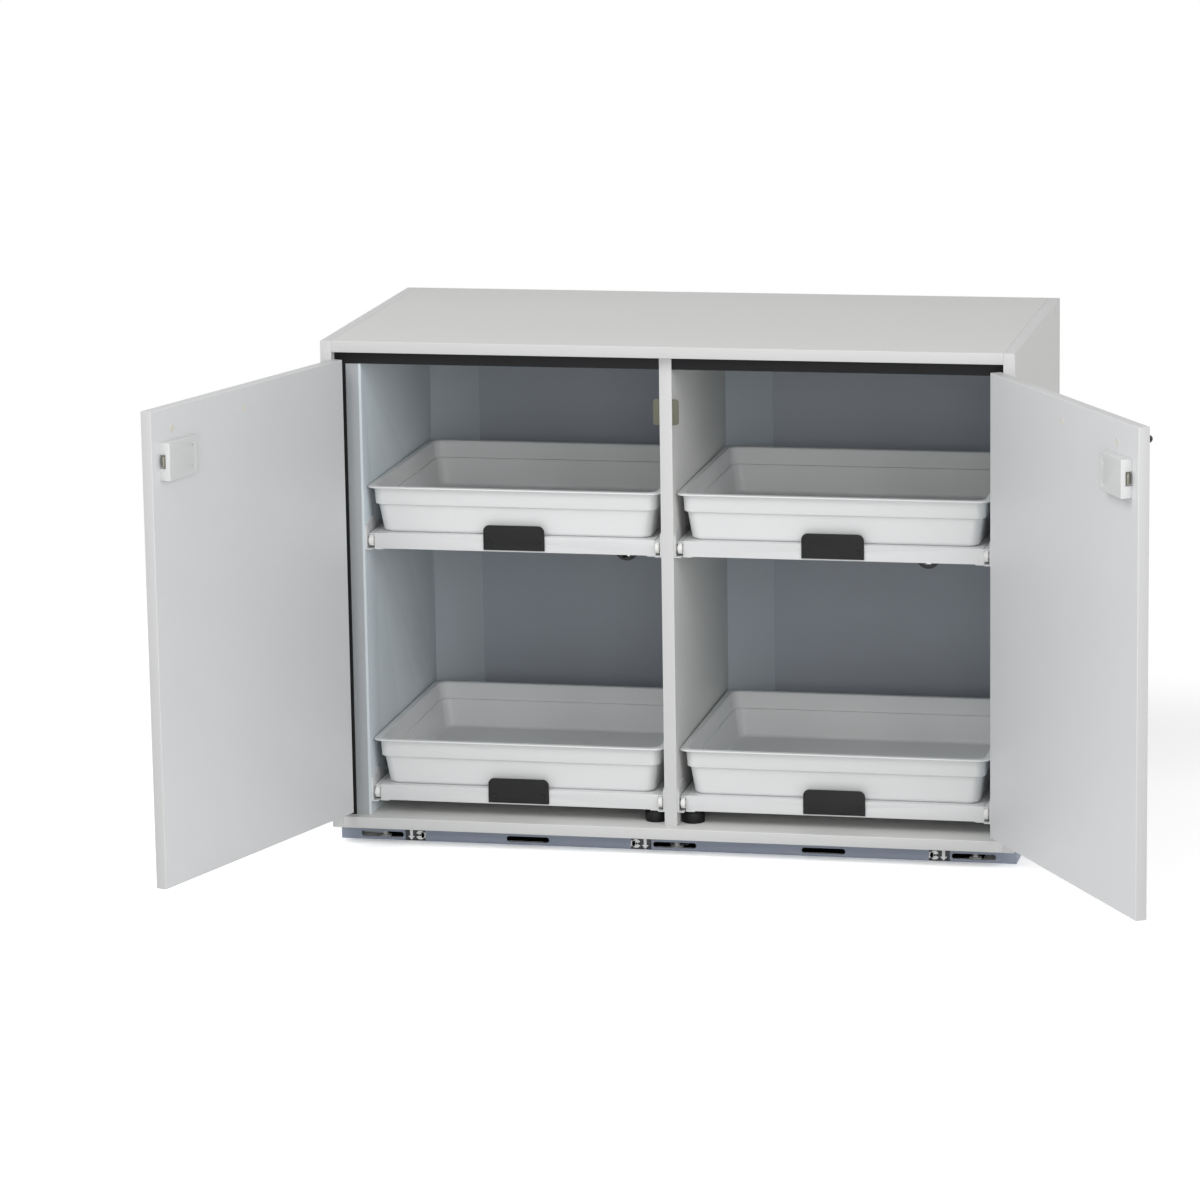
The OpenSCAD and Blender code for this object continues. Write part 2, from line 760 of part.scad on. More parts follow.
module screw_covers(side) {
    seat = plug_seat - screw_head_t;
    color("ivory") on_door(side) for (x = handle_feet(side))
        rod_y([x, door_face - seat, handle_z], plug_d / 2, seat + plug_proud);
}

// ---------------------------------------------------------------- latches

module latch_screw_places() {
    for (z = [-1, 1])
        translate([latch_end - latch_screw_x, 0, latch_mid_z + z * latch_screw_pitch / 2]) children();
}

// The latch housing seen from above, with its outline moved in by a wall
module latch_outline(inset) {
    far = latch_end - latch_len + inset;
    near = latch_end - inset;
    near_r = max(latch_corner - inset, latch_inner_corner);
    far_r = latch_far_corner - inset;
    polygon(concat(
        [[far, door_face], [near, door_face]],
        arc(near - near_r, door_face + latch_t - inset - near_r, near_r, 0, 90),
        arc(far + far_r, door_face + latch_far_t - inset - far_r, far_r, 90, 180)));
}

module latch_housing(side) {
    inner_h = latch_h - 2 * latch_wall;
    guide = bolt_h / 2 + bolt_clear;
    near_roof = door_face + latch_t - latch_wall / 2 - roof_slack;
    far_roof = door_face + latch_far_t - latch_wall / 2;
    color("white") on_door(side) difference() {
        translate([0, 0, latch_mid_z]) union() {
            difference() {
                translate([0, 0, -latch_h / 2]) linear_extrude(latch_h) latch_outline(0);
                translate([0, -cut, -inner_h / 2]) linear_extrude(inner_h) latch_outline(latch_wall);
                translate([0, 0, -inner_h / 2]) linear_extrude(inner_h) latch_outline(latch_wall);
                block([latch_end - latch_wall - cut, door_face - cut, -window_h / 2],
                      [latch_end + cut, door_face + window_deep, window_h / 2]);
            }
            // Ribs that guide the bolt, and the rib that the spring pushes on
            for (side = [-1, 1]) mirror([0, 0, side < 0 ? 1 : 0])
                block([latch_end - bolt_len, door_face, guide],
                      [latch_end - latch_wall - cut, near_roof, guide + rib_t]);
            block([latch_end - spring_rib - rib_t, door_face, -guide],
                  [latch_end - spring_rib, far_roof, guide]);
            for (z = [-1, 1]) rod_y([latch_end - latch_screw_x, door_face, z * latch_screw_pitch / 2],
                                    latch_boss_r, far_roof - door_face);
        }
        latch_screw_places() {
            rod_y([0, door_face - cut, 0], latch_screw_r, latch_t);
            rod_y([0, door_face + latch_boss_h, 0], screw_head_r, latch_t);
        }
    }
}

module latch_bolt(side) {
    color("silver") on_door(side) translate([0, bolt_y, latch_mid_z - bolt_h / 2]) {
        translate([nose_x, 0, 0]) cylinder(r = bolt_r, h = bolt_h);
        block([nose_x - bolt_len, -bolt_r, 0], [nose_x, bolt_r, bolt_h]);
    }
}

module latch_spring(side) {
    start = latch_end - spring_rib;
    len = nose_x - bolt_len - start;
    color("silver") on_door(side) difference() {
        rod_x([start, bolt_y, latch_mid_z], spring_r, len);
        rod_x([start - cut, bolt_y, latch_mid_z], spring_r - spring_wire, len + 2 * cut);
    }
}

// ---------------------------------------------------------------- runners

module runner_screw_places(side) {
    for (level = [lower, upper]) on_walls(side) for (y = runner_screw_y)
        translate([0, runner_y + y, rail_z(level) + rear_roller_up]) children();
}

// The shank of a countersunk screw behind a runner
module runner_screw() {
    rod_x([-runner_screw_len, 0, 0], runner_screw_r, runner_screw_len);
}

module runner_screw_head() {
    rotate([0, 90, 0]) cylinder(r1 = runner_screw_r, r2 = runner_head_r, h = sheet_t);
}

// One runner in wall coordinates: wall plate, front bracket, channel flanges and front roller pin
module runner() {
    top_start = runner_y + channel_start;
    difference() {
        rotate([90, 0, 90]) linear_extrude(sheet_t) polygon([
            [runner_y, 0], [runner_y + runner_len, 0], [runner_y + runner_len, runner_h],
            [runner_y + bracket_len + bracket_slope, runner_h],
            [runner_y + bracket_len + bracket_flat, bracket_h + bracket_rise],
            [runner_y + bracket_len, bracket_h + bracket_rise],
            [runner_y + bracket_corner, bracket_h], [runner_y, bracket_h - bracket_corner]]);
        for (y = runner_screw_y) translate([0, runner_y + y, rear_roller_up]) runner_screw_head();
    }
    translate([sheet_t, 0, 0]) rotate([90, 0, 90]) linear_extrude(bracket_t - sheet_t) polygon([
        [runner_y, 0], [runner_y + channel_start, 0], [runner_y + channel_start, bracket_h],
        [runner_y + bracket_corner, bracket_h], [runner_y, bracket_h - bracket_corner]]);
    block([sheet_t, runner_y, 0], [flange_w, runner_y + runner_len, sheet_t]);
    block([sheet_t, top_start, channel_h - sheet_t], [flange_w, runner_y + runner_len, channel_h]);
    rod_x([bracket_t, front_roller_y, front_roller_up], boss_r, roller_x - bracket_t - bore_gap);
    rod_x([bracket_t, front_roller_y, front_roller_up], roller_pin_r, roller_x + roller_w - bracket_t);
}

module cabinet_runners() {
    color("white") for (side = [left, right], level = [lower, upper])
        on_walls(side) translate([0, 0, rail_z(level)]) runner();
}

// The screws of the runners and of the hinge leaves on the side boards
module carcass_screws() {
    color("silver") {
        for (side = [left, right]) {
            runner_screw_places(side) {
                runner_screw();
                runner_screw_head();
            }
            on_side(side) {
                frame_leaf_heads();
                frame_leaf_screws(-in_x - leaf_screw_len, leaf_screw_len);
            }
        }
    }
}

module front_rollers(side, level) {
    color("white") on_walls(side) translate([0, 0, rail_z(level)])
        roller(front_roller_y, front_roller_up, front_roller_r);
}

module rear_rollers(side, level) {
    color("white") on_walls(side) translate([0, 0, rail_z(level)])
        roller(rear_roller_y, rear_roller_up, rear_roller_r);
}

module roller(y, up, r) {
    difference() {
        rod_x([roller_x, y, up], r, roller_w);
        rod_x([roller_x - cut, y, up], roller_pin_r + bore_gap, roller_w + 2 * cut);
    }
}

// ---------------------------------------------------------------- shelves

// One slide in wall coordinates: upright, bottom flange, top flange with lip, rear roller pin
module slide() {
    rear_y = rail_y + shelf_d;
    block([slide_gap, rail_y, -sheet_t], [slide_gap + sheet_t, rear_y, slide_h]);
    block([slide_gap + sheet_t, rail_y, -sheet_t], [slide_gap + sheet_t + slide_flange, rear_y, 0]);
    block([lip_gap, rail_y, slide_h - sheet_t], [slide_gap, rear_y, slide_h]);
    block([lip_gap, rail_y, slide_h - lip_h], [lip_x, rear_y, slide_h - sheet_t]);
    rod_x([roller_x, rear_roller_y, rear_roller_up], roller_pin_r, slide_gap - roller_x);
}

module slides(side, level) {
    color("white") on_walls(side) translate([0, 0, rail_z(level)]) slide();
}

// The folded shelf sheet: flat top, with the rail in front and a flange on each other side
module shelf(side, level) {
    front_lip = 12;
    half = bay_w(side) / 2 - slide_gap - sheet_t;
    color("white") translate([bay_x(side), 0, rail_z(level)]) difference() {
        block([-half, rail_y, 0], [half, rail_y + shelf_d, rail_h]);
        block([sheet_t - half, rail_y + sheet_t, sheet_t],
              [half - sheet_t, rail_y + shelf_d - sheet_t, rail_h - sheet_t]);
        block([sheet_t - half, rail_y + front_lip, -cut],
              [half - sheet_t, rail_y + shelf_d - sheet_t, 2 * sheet_t]);
        pull_screw_places() rod_y([0, -cut, 0], pull_screw_r, sheet_t + 2 * cut);
    }
}

module pull_screw_places() {
    for (x = [-1, 1]) translate([x * pull_screw_pitch / 2, rail_y, pull_screw_up]) children();
}

// The black pull plate, with its two screws
module pull(side, level) {
    nut_out = 2;
    head_r = 3.5;
    head_t = 1.5;
    color("black") translate([bay_x(side), 0, rail_z(level)]) {
        difference() {
            translate([0, rail_y, pull_up + pull_h / 2]) rotate([90, 0, 0]) linear_extrude(pull_t) union() {
                round_rect(pull_w, pull_h, pull_r);
                translate([0, -pull_r / 2]) square([pull_w, pull_h - pull_r], center = true);
            }
            pull_screw_places() rod_y([0, -pull_t - cut, 0], pull_screw_r, pull_t + 2 * cut);
        }
        pull_screw_places() {
            rod_y([0, -pull_t, 0], pull_screw_r, pull_t + sheet_t + nut_out);
            rod_y([0, -pull_t - head_t, 0], head_r, head_t);
        }
    }
}

// ---------------------------------------------------------------- trays

// A block whose four sides slope in from the upper to the lower outline, w wide to either side
module sloped(w, top_in, low_in, low_z, high_z) {
    d = tray_d;
    intersection() {
        rotate([90, 0, 0]) translate([0, 0, -d]) linear_extrude(d)
            polygon([[low_in - w, low_z], [w - low_in, low_z], [w - top_in, high_z], [top_in - w, high_z]]);
        rotate([90, 0, 90]) translate([0, 0, -w]) linear_extrude(2 * w)
            polygon([[low_in, low_z], [d - low_in, low_z], [d - top_in, high_z], [top_in, high_z]]);
    }
}

module tray(side, level) {
    band_z = low_h;
    rim_z = low_h + band_h;
    w = bay_w(side) / 2 - tray_gap;
    color("white") translate([bay_x(side), front_y + tray_setback, rail_z(level) + rail_h]) difference() {
        union() {
            sloped(w, low_in, base_in, 0, band_z);
            sloped(w, rim_w, band_in, band_z, rim_z);
            translate([0, tray_d / 2, rim_z]) linear_extrude(rim_t) round_rect(2 * w, tray_d, rim_r);
        }
        sloped(w, low_in + tray_wall, base_in + tray_wall, tray_wall, band_z + tray_wall);
        sloped(w, rim_w + tray_wall, band_in + tray_wall, band_z + tray_wall, rim_z + rim_t + cut);
    }
}

// ---------------------------------------------------------------- the cabinet

side_panel(left);  // left_side_panel
side_panel(right);  // right_side_panel
top_panel();
bottom_panel();
back_panel();
divider_panel();
inner_walls();
hinge_fillers();
seal_strips();
duct_boards();
vent_rosettes();
plinth_front_rail();
plinth_inner_rails();
levelling_feet();
floor_caps();
connector_caps();
strike_plate();
hinge_frame_leaves();
cabinet_runners();
carcass_screws();
door_panel(left);  // left_door_panel
door_hinge_leaf(left);  // left_door_hinge_leaf
door_handle(left);  // left_door_handle
door_screws(left);  // left_door_screws
screw_covers(left);  // left_screw_covers
latch_housing(left);  // left_latch_housing
latch_bolt(left);  // left_latch_bolt
latch_spring(left);  // left_latch_spring
door_panel(right);  // right_door_panel
door_hinge_leaf(right);  // right_door_hinge_leaf
door_handle(right);  // right_door_handle
door_screws(right);  // right_door_screws
screw_covers(right);  // right_screw_covers
latch_housing(right);  // right_latch_housing
latch_bolt(right);  // right_latch_bolt
latch_spring(right);  // right_latch_spring
shelf(left, upper);  // upper_left_shelf
slides(left, upper);  // upper_left_slides
tray(left, upper);  // upper_left_tray
pull(left, upper);  // upper_left_pull
front_rollers(left, upper);  // upper_left_front_rollers
rear_rollers(left, upper);  // upper_left_rear_rollers
shelf(right, upper);  // upper_right_shelf
slides(right, upper);  // upper_right_slides
tray(right, upper);  // upper_right_tray
pull(right, upper);  // upper_right_pull
front_rollers(right, upper);  // upper_right_front_rollers
rear_rollers(right, upper);  // upper_right_rear_rollers
shelf(left, lower);  // lower_left_shelf
slides(left, lower);  // lower_left_slides
tray(left, lower);  // lower_left_tray
pull(left, lower);  // lower_left_pull
front_rollers(left, lower);  // lower_left_front_rollers
rear_rollers(left, lower);  // lower_left_rear_rollers
shelf(right, lower);  // lower_right_shelf
slides(right, lower);  // lower_right_slides
tray(right, lower);  // lower_right_tray
pull(right, lower);  // lower_right_pull
front_rollers(right, lower);  // lower_right_front_rollers
rear_rollers(right, lower);  // lower_right_rear_rollers
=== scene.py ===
"""The looks of an under-bench reagent cabinet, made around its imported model."""
import json
import math

import bmesh
import bpy
from bpy.props import FloatProperty, FloatVectorProperty, IntProperty, PointerProperty
from bpy.types import Operator, Panel, PropertyGroup
from mathutils import Matrix, Vector


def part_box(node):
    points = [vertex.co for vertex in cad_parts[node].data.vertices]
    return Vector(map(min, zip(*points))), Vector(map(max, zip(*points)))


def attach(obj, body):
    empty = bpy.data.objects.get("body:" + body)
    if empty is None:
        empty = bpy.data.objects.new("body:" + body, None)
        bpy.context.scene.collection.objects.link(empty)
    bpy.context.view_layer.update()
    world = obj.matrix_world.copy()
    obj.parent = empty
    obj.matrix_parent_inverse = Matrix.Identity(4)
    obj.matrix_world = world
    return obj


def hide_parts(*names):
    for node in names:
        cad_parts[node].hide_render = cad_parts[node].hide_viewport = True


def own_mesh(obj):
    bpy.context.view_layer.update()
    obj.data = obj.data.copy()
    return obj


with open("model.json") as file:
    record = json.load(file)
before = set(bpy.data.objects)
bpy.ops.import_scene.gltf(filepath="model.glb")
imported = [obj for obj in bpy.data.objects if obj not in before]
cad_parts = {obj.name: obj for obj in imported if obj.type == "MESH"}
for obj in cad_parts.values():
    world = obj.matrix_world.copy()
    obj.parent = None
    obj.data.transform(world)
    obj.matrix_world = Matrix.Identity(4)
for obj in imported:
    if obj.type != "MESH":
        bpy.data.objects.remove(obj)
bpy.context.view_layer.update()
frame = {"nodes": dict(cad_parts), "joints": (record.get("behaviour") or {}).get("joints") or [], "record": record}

bl_info = {
    "name": "Reagent cabinet",
    "version": (1, 0, 0),
    "blender": (4, 5, 0),
    "location": "View3D > Sidebar > Cabinet",
    "description": "Finishes an under-bench cabinet with wing doors and pull-out trays",
    "category": "Object",
}

SIDES = ("left", "right")
QUARTERS = ("upper_left", "upper_right", "lower_left", "lower_right")
X, Y, Z = range(3)
# The carcass boards, and the axis across which each is thin
BOARDS = {
    "left_side_panel": X,
    "right_side_panel": X,
    "top_panel": Z,
    "bottom_panel": Z,
    "divider_panel": X,
}

# Tolerances for reading and joining meshes, in metres
WELD = 2e-6
TINY = 1e-7
SAME_LEVEL = 1e-5
SAME_SIZE = 1e-4
FLAT_ANGLE = math.radians(1)
SHARP_ANGLE = math.radians(20)
EDGE_ANGLE = math.radians(35)
# A face whose normal has this share along a board's thin axis is broad: a slope of 45 degrees still is
BROAD = 0.7
# How far the middle of a rounded corner stands in from its point, as a share of the radius
CORNER_SHARE = 0.3
# Sizes that are read from a mesh are rounded to a hundredth of a millimetre
DIGITS = 5


# ---------------------------------------------------------------- sizes and colours


def colour_property(name, description, default):
    return FloatVectorProperty(
        name=name, description=description, default=default, size=3, subtype="COLOR", min=0, max=1
    )


def length_property(name, description, default, least=0.0001):
    return FloatProperty(name=name, description=description, default=default, min=least, unit="LENGTH")


def level_property(name, description, default, unit="NONE"):
    return FloatProperty(name=name, description=description, default=default, min=0, unit=unit)


class CabinetColours(PropertyGroup):
    board: colour_property("Board", "Melamine face of the boards", (0.645, 0.650, 0.635))
    band: colour_property("Edge band", "Edge bands of the boards", (0.590, 0.594, 0.590))
    door: colour_property("Door", "Inner and outer face of the doors", (0.685, 0.692, 0.700))
    lining: colour_property("Lining", "Inner walls", (0.640, 0.705, 0.740))
    # The filler's colour is the lining's light grey darkened: painted shade for the strips that stand set back
    # beside the seal
    filler: colour_property("Filler", "Strips beside the seal", (0.370, 0.392, 0.405))
    duct: colour_property("Duct", "Slanted boards of the air duct", (0.490, 0.535, 0.575))
    back: colour_property("Back", "Back panel", (0.350, 0.378, 0.420))
    seal: colour_property("Seal", "Seal strip round the door opening", (0.007, 0.007, 0.008))
    plinth: colour_property("Plinth", "Powder coat of the plinth", (0.290, 0.330, 0.410))
    sheet: colour_property("Sheet metal", "Powder coat of runners and shelves", (0.655, 0.660, 0.665))
    tray: colour_property("Tray", "Moulded tray", (0.720, 0.728, 0.730))
    black: colour_property("Black plastic", "Handles, pull plates and caps", (0.008, 0.008, 0.0085))
    nylon: colour_property("Nylon", "Rollers and feet", (0.780, 0.780, 0.760))
    latch: colour_property("Latch", "Latch housings", (0.690, 0.700, 0.695))
    plug: colour_property("Cover plug", "Plugs over the handle screws", (0.700, 0.690, 0.625))
    strike: colour_property("Strike", "Dark nickel of the strike plate", (0.125, 0.122, 0.095))
    bolt: colour_property("Bolt", "Nickel of the latch bolts", (0.230, 0.225, 0.185))
    zinc: colour_property("Zinc", "Zinc plate of hinges and screws", (0.620, 0.620, 0.610))
    vent: colour_property("Vent", "Air rosettes", (0.030, 0.032, 0.034))
    white_mark: colour_property("White mark", "Signs beside the slots", (0.95, 0.95, 0.95))
    dark_mark: colour_property("Dark mark", "Ground of the signs", (0.030, 0.033, 0.040))


class CabinetDetails(PropertyGroup):
    board_edge: length_property("Board edge", "Edge radius of boards", 0.0011, 0.0002)
    sheet_edge: length_property("Sheet edge", "Edge radius of sheet metal", 0.0004)
    moulded_edge: length_property("Moulded edge", "Edge radius of mouldings", 0.0009)
    tray_corner: length_property("Tray corner", "Corner radius of a tray", 0.016, 0.004)
    tray_fillet: length_property("Tray fillet", "Radius between floor and wall", 0.006, 0.001)
    spring_turns: IntProperty(
        name="Spring turns", description="Turns of a latch spring", default=11, min=3
    )
    spring_wire: length_property("Spring wire", "Wire radius of a latch spring", 0.00035)
    thread_pitch: length_property("Thread pitch", "Pitch of the feet's thread", 0.00125, 0.0005)


class CabinetStage(PropertyGroup):
    world_level: level_property("World", "Strength of the even light", 0.40)
    key_power: level_property("Key", "Power of the key lamp", 116, "POWER")
    fill_power: level_property("Fill", "Power of the fill lamp", 80, "POWER")
    front_power: level_property("Front", "Power of the lamp that lights the compartments", 50, "POWER")
    floor_colour: colour_property("Floor", "Pale floor", (0.70, 0.70, 0.70))
    # The dark floor's colour is painted shade, for the sheet laid under the carcass
    painted_shade_colour: colour_property("Dark floor", "Floor below the cabinet", (0.02, 0.02, 0.02))
    floor_seen: level_property("Floor seen", "Paleness of the floor as the camera sees it", 1.8)
    floor_reach: length_property("Floor reach", "Where the floor has faded to white", 2.6, 0.5)


# ---------------------------------------------------------------- node helpers


FLOAT, VECTOR, COLOUR = "NodeSocketFloat", "NodeSocketVector", "NodeSocketColor"
GEOMETRY, MATERIAL = "NodeSocketGeometry", "NodeSocketMaterial"


def add_node(tree, kind, inputs=None, **settings):
    """A new node with its settings; each input takes a value, or the output that feeds it."""
    node = tree.nodes.new(kind)
    for key, value in settings.items():
        setattr(node, key, value)
    for key, value in (inputs or {}).items():
        if isinstance(value, bpy.types.NodeSocket):
            tree.links.new(value, node.inputs[key])
        else:
            node.inputs[key].default_value = value
    return node


def maths(tree, operation, *values):
    """The result of a Math node; each value is a number, or the output that feeds it."""
    return add_node(tree, "ShaderNodeMath", dict(enumerate(values)), operation=operation).outputs[0]


def new_group(name, kind, inputs, outputs):
    """An empty node group with named sockets: the tree, what it is given, and its end node."""
    tree = bpy.data.node_groups.new(name, kind)
    for label, socket, default in inputs:
        item = tree.interface.new_socket(label, in_out="INPUT", socket_type=socket)
        if default is not None:
            item.default_value = default
    for label, socket in outputs:
        tree.interface.new_socket(label, in_out="OUTPUT", socket_type=socket)
    return tree, tree.nodes.new("NodeGroupInput").outputs, tree.nodes.new("NodeGroupOutput")


# ---------------------------------------------------------------- finishes


WEAR_PATCHES = 60.0
STREAK_SQUEEZE = (1.0, 1.0, 0.03)
BUMP_STRENGTH = 0.6


def surface_group():
    """Fine grain for the bump, and a slow change of tone and gloss over the surface."""
    tree, given, end = new_group(
        "Cabinet surface",
        "ShaderNodeTree",
        (
            ("Vector", VECTOR, None),
            ("Colour", COLOUR, (0.5, 0.5, 0.5, 1)),
            ("Grain Scale", FLOAT, 1500.0),
            ("Mottle Scale", FLOAT, 7.0),
            ("Mottle", FLOAT, 0.04),
            ("Roughness", FLOAT, 0.5),
            ("Gloss Change", FLOAT, 0.06),
            ("Wear", FLOAT, 0.2),
        ),
        (("Colour", COLOUR), ("Roughness", FLOAT), ("Height", FLOAT)),
    )

    def noise(scale, detail, roughness):
        inputs = {"Vector": given["Vector"], "Scale": scale, "Detail": detail, "Roughness": roughness}
        return add_node(tree, "ShaderNodeTexNoise", inputs).outputs["Fac"]

    # Tone: one, plus or minus the mottle
    mottle = maths(tree, "SUBTRACT", noise(given["Mottle Scale"], 4.0, 0.55), 0.5)
    tone = maths(tree, "ADD", maths(tree, "MULTIPLY", mottle, given["Mottle"]), 1.0)
    # Worn edges come from the attribute that the mesh code leaves on them
    edge = add_node(tree, "ShaderNodeAttribute", attribute_name="edge_wear")
    patches = maths(tree, "MULTIPLY", edge.outputs["Fac"], noise(WEAR_PATCHES, 3.0, 0.5))
    level = maths(tree, "ADD", tone, maths(tree, "MULTIPLY", patches, given["Wear"]))
    colour = add_node(
        tree, "ShaderNodeVectorMath", {0: given["Colour"], "Scale": level}, operation="SCALE"
    )
    # Roughness follows the same slow pattern
    gloss = maths(tree, "MULTIPLY_ADD", mottle, given["Gloss Change"], given["Roughness"])
    grain = noise(given["Grain Scale"], 3.0, 0.6)
    tree.links.new(colour.outputs[0], end.inputs["Colour"])
    tree.links.new(gloss, end.inputs["Roughness"])
    tree.links.new(grain, end.inputs["Height"])
    return tree


def streak_group():
    """Long fine streaks along one direction, as rolling or brushing leaves on metal."""
    tree, given, end = new_group(
        "Cabinet streaks",
        "ShaderNodeTree",
        (
            ("Vector", VECTOR, None),
            ("Scale", FLOAT, 900.0),
            ("Height", FLOAT, 0.0),
            ("Share", FLOAT, 0.5),
        ),
        (("Height", FLOAT),),
    )
    squeeze = add_node(
        tree, "ShaderNodeMapping", {"Vector": given["Vector"], "Scale": STREAK_SQUEEZE}
    )
    noise = add_node(
        tree, "ShaderNodeTexNoise",
        {"Vector": squeeze.outputs["Vector"], "Scale": given["Scale"], "Detail": 2.0},
    )
    mix = add_node(
        tree, "ShaderNodeMix",
        {"Factor": given["Share"], "A": given["Height"], "B": noise.outputs["Fac"]},
        data_type="FLOAT",
    )
    tree.links.new(mix.outputs["Result"], end.inputs["Height"])
    return tree


class Finishes:
    """Makes each material once, from the colours of the panel."""

    def __init__(self, colours):
        self.colours = colours
        self.surface = surface_group()
        self.streaks = streak_group()
        self.made = {}

    def get(self, name):
        if name not in self.made:
            self.made[name] = getattr(self, name)(name)
        return self.made[name]

    def build(self, name, rough, depth, grain, mottle=0.03, mottle_scale=7.0, gloss=0.08,
              wear=0.12, metallic=0.0, coat=0.0, streaks=0.0, shine=0.5):
        """A Principled material with grain in its bump and slow changes of tone and gloss.

        Its colour is the panel's colour of the same name, and depth is the bump's, in metres.
        """
        material = bpy.data.materials.new(f"cabinet_{name}")
        material.use_nodes = True
        tree = material.node_tree
        tree.nodes.clear()
        place = add_node(tree, "ShaderNodeTexCoord").outputs["Object"]
        detail = add_node(
            tree, "ShaderNodeGroup",
            {
                "Vector": place, "Colour": (*getattr(self.colours, name), 1.0), "Grain Scale": grain,
                "Mottle Scale": mottle_scale, "Mottle": mottle, "Roughness": rough,
                "Gloss Change": gloss, "Wear": wear,
            },
            node_tree=self.surface,
        )
        height = detail.outputs["Height"]
        if streaks:
            brushed = add_node(
                tree, "ShaderNodeGroup", {"Share": streaks, "Vector": place, "Height": height},
                node_tree=self.streaks,
            )
            height = brushed.outputs["Height"]
        bump = add_node(
            tree, "ShaderNodeBump", {"Strength": BUMP_STRENGTH, "Distance": depth, "Height": height}
        )
        shader = add_node(
            tree, "ShaderNodeBsdfPrincipled",
            {
                "Base Color": detail.outputs["Colour"], "Roughness": detail.outputs["Roughness"],
                "Normal": bump.outputs["Normal"], "Metallic": metallic, "Coat Weight": coat,
                "Specular IOR Level": shine,
            },
        )
        add_node(tree, "ShaderNodeOutputMaterial", {"Surface": shader.outputs["BSDF"]})
        return material

    def board(self, name):
        return self.build(name, rough=0.46, depth=0.00006, grain=900, mottle=0.035)

    def band(self, name):
        return self.build(name, rough=0.40, depth=0.00004, grain=1200, mottle=0.02)

    def door(self, name):
        return self.build(name, rough=0.44, depth=0.00006, grain=900, mottle=0.035)

    def lining(self, name):
        return self.build(name, rough=0.55, depth=0.00006, grain=900, mottle=0.05)

    # The lining's material with the filler's darker colour, which is painted shade
    def filler(self, name):
        return self.lining(name)

    def duct(self, name):
        return self.lining(name)

    def back(self, name):
        return self.build(name, rough=0.60, depth=0.00008, grain=700, mottle=0.07, mottle_scale=4)

    def seal(self, name):
        return self.build(name, rough=0.62, depth=0.00012, grain=600, mottle=0.2, wear=0.4, shine=0.22)

    def plinth(self, name):
        return self.build(name, rough=0.42, depth=0.00005, grain=1100, mottle=0.06, coat=0.1)

    def sheet(self, name):
        return self.build(name, rough=0.38, depth=0.00004, grain=1100, mottle=0.03, coat=0.1)

    def tray(self, name):
        return self.build(name, rough=0.42, depth=0.00005, grain=1400, mottle=0.035, mottle_scale=12)

    def black(self, name):
        return self.build(name, rough=0.42, depth=0.00006, grain=1500, mottle=0.2, wear=0.6, shine=0.22)

    def nylon(self, name):
        return self.build(name, rough=0.45, depth=0.00003, grain=1600, mottle=0.03)

    def latch(self, name):
        return self.build(name, rough=0.43, depth=0.00005, grain=1600, mottle=0.03)

    def plug(self, name):
        return self.build(name, rough=0.48, depth=0.00004, grain=1600, mottle=0.05)

    def strike(self, name):
        return self.build(
            name, rough=0.5, depth=0.00003, grain=900, mottle=0.15, metallic=0.3, streaks=0.6, shine=0.2
        )

    def bolt(self, name):
        return self.build(
            name, rough=0.38, depth=0.00003, grain=1200, mottle=0.15, metallic=0.7, streaks=0.5
        )

    def zinc(self, name):
        return self.build(
            name, rough=0.34, depth=0.00003, grain=1200, mottle=0.08, metallic=1.0, streaks=0.5
        )

    def vent(self, name):
        return self.build(name, rough=0.45, depth=0.00006, grain=1500, mottle=0.2, wear=0.5)

    def white_mark(self, name):
        return self.build(name, rough=0.5, depth=0.00001, grain=1500, wear=0.0)

    def dark_mark(self, name):
        return self.white_mark(name)


FINISHES = {}


def finish(name):
    """The material of that name."""
    if not FINISHES:
        FINISHES["all"] = Finishes(bpy.context.scene.cabinet_colours)
    return FINISHES["all"].get(name)


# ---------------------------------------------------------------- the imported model


def body_of(node):
    for body, members in frame["record"]["behaviour"]["bodies"].items():
        if node in members:
            return body
    raise ValueError(f"no body holds {node}")


def joint(name):
    for entry in frame["joints"]:
        if entry["name"] == name:
            return entry
    raise ValueError(f"there is no joint {name}")


def door_turn(side):
    """The turn that takes the closed door to where it stands open at rest."""
    swing = joint(f"{side}_door_swing")
    pivot = Vector(swing["pos_m"])
    turn = Matrix.Rotation(math.radians(-swing["range_deg"][0]), 4, Vector(swing["axis"]))
    return Matrix.Translation(pivot) @ turn @ Matrix.Translation(-pivot)


def place_piece(name, mesh, node, materials, replace=True):
    """Links a finished mesh as a piece that rides with a node's body, and stands for the node."""
    mesh.name = name
    piece = bpy.data.objects.new(name, mesh)
    bpy.context.scene.collection.objects.link(piece)
    if len(mesh.materials):
        mesh.materials.clear()  # this also sets each face back to the first slot
    for material in materials:
        mesh.materials.append(finish(material))
    mesh.shade_smooth()
    mesh.set_sharp_from_angle(angle=SHARP_ANGLE)
    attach(piece, body_of(node))
    if replace:
        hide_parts(node)
    return piece


def dress(node, material):
    """Gives a CAD node that keeps its own mesh a material."""
    target = frame["nodes"][node]
    target.data.materials.clear()
    target.data.materials.append(finish(material))


# ---------------------------------------------------------------- mesh helpers


def box_of(points):
    """The lowest and the highest corner of some points, and the middle between them."""
    low = Vector((min(p[i] for p in points) for i in range(3)))
    high = Vector((max(p[i] for p in points) for i in range(3)))
    return low, high, Vector(((low[i] + high[i]) / 2 for i in range(3)))


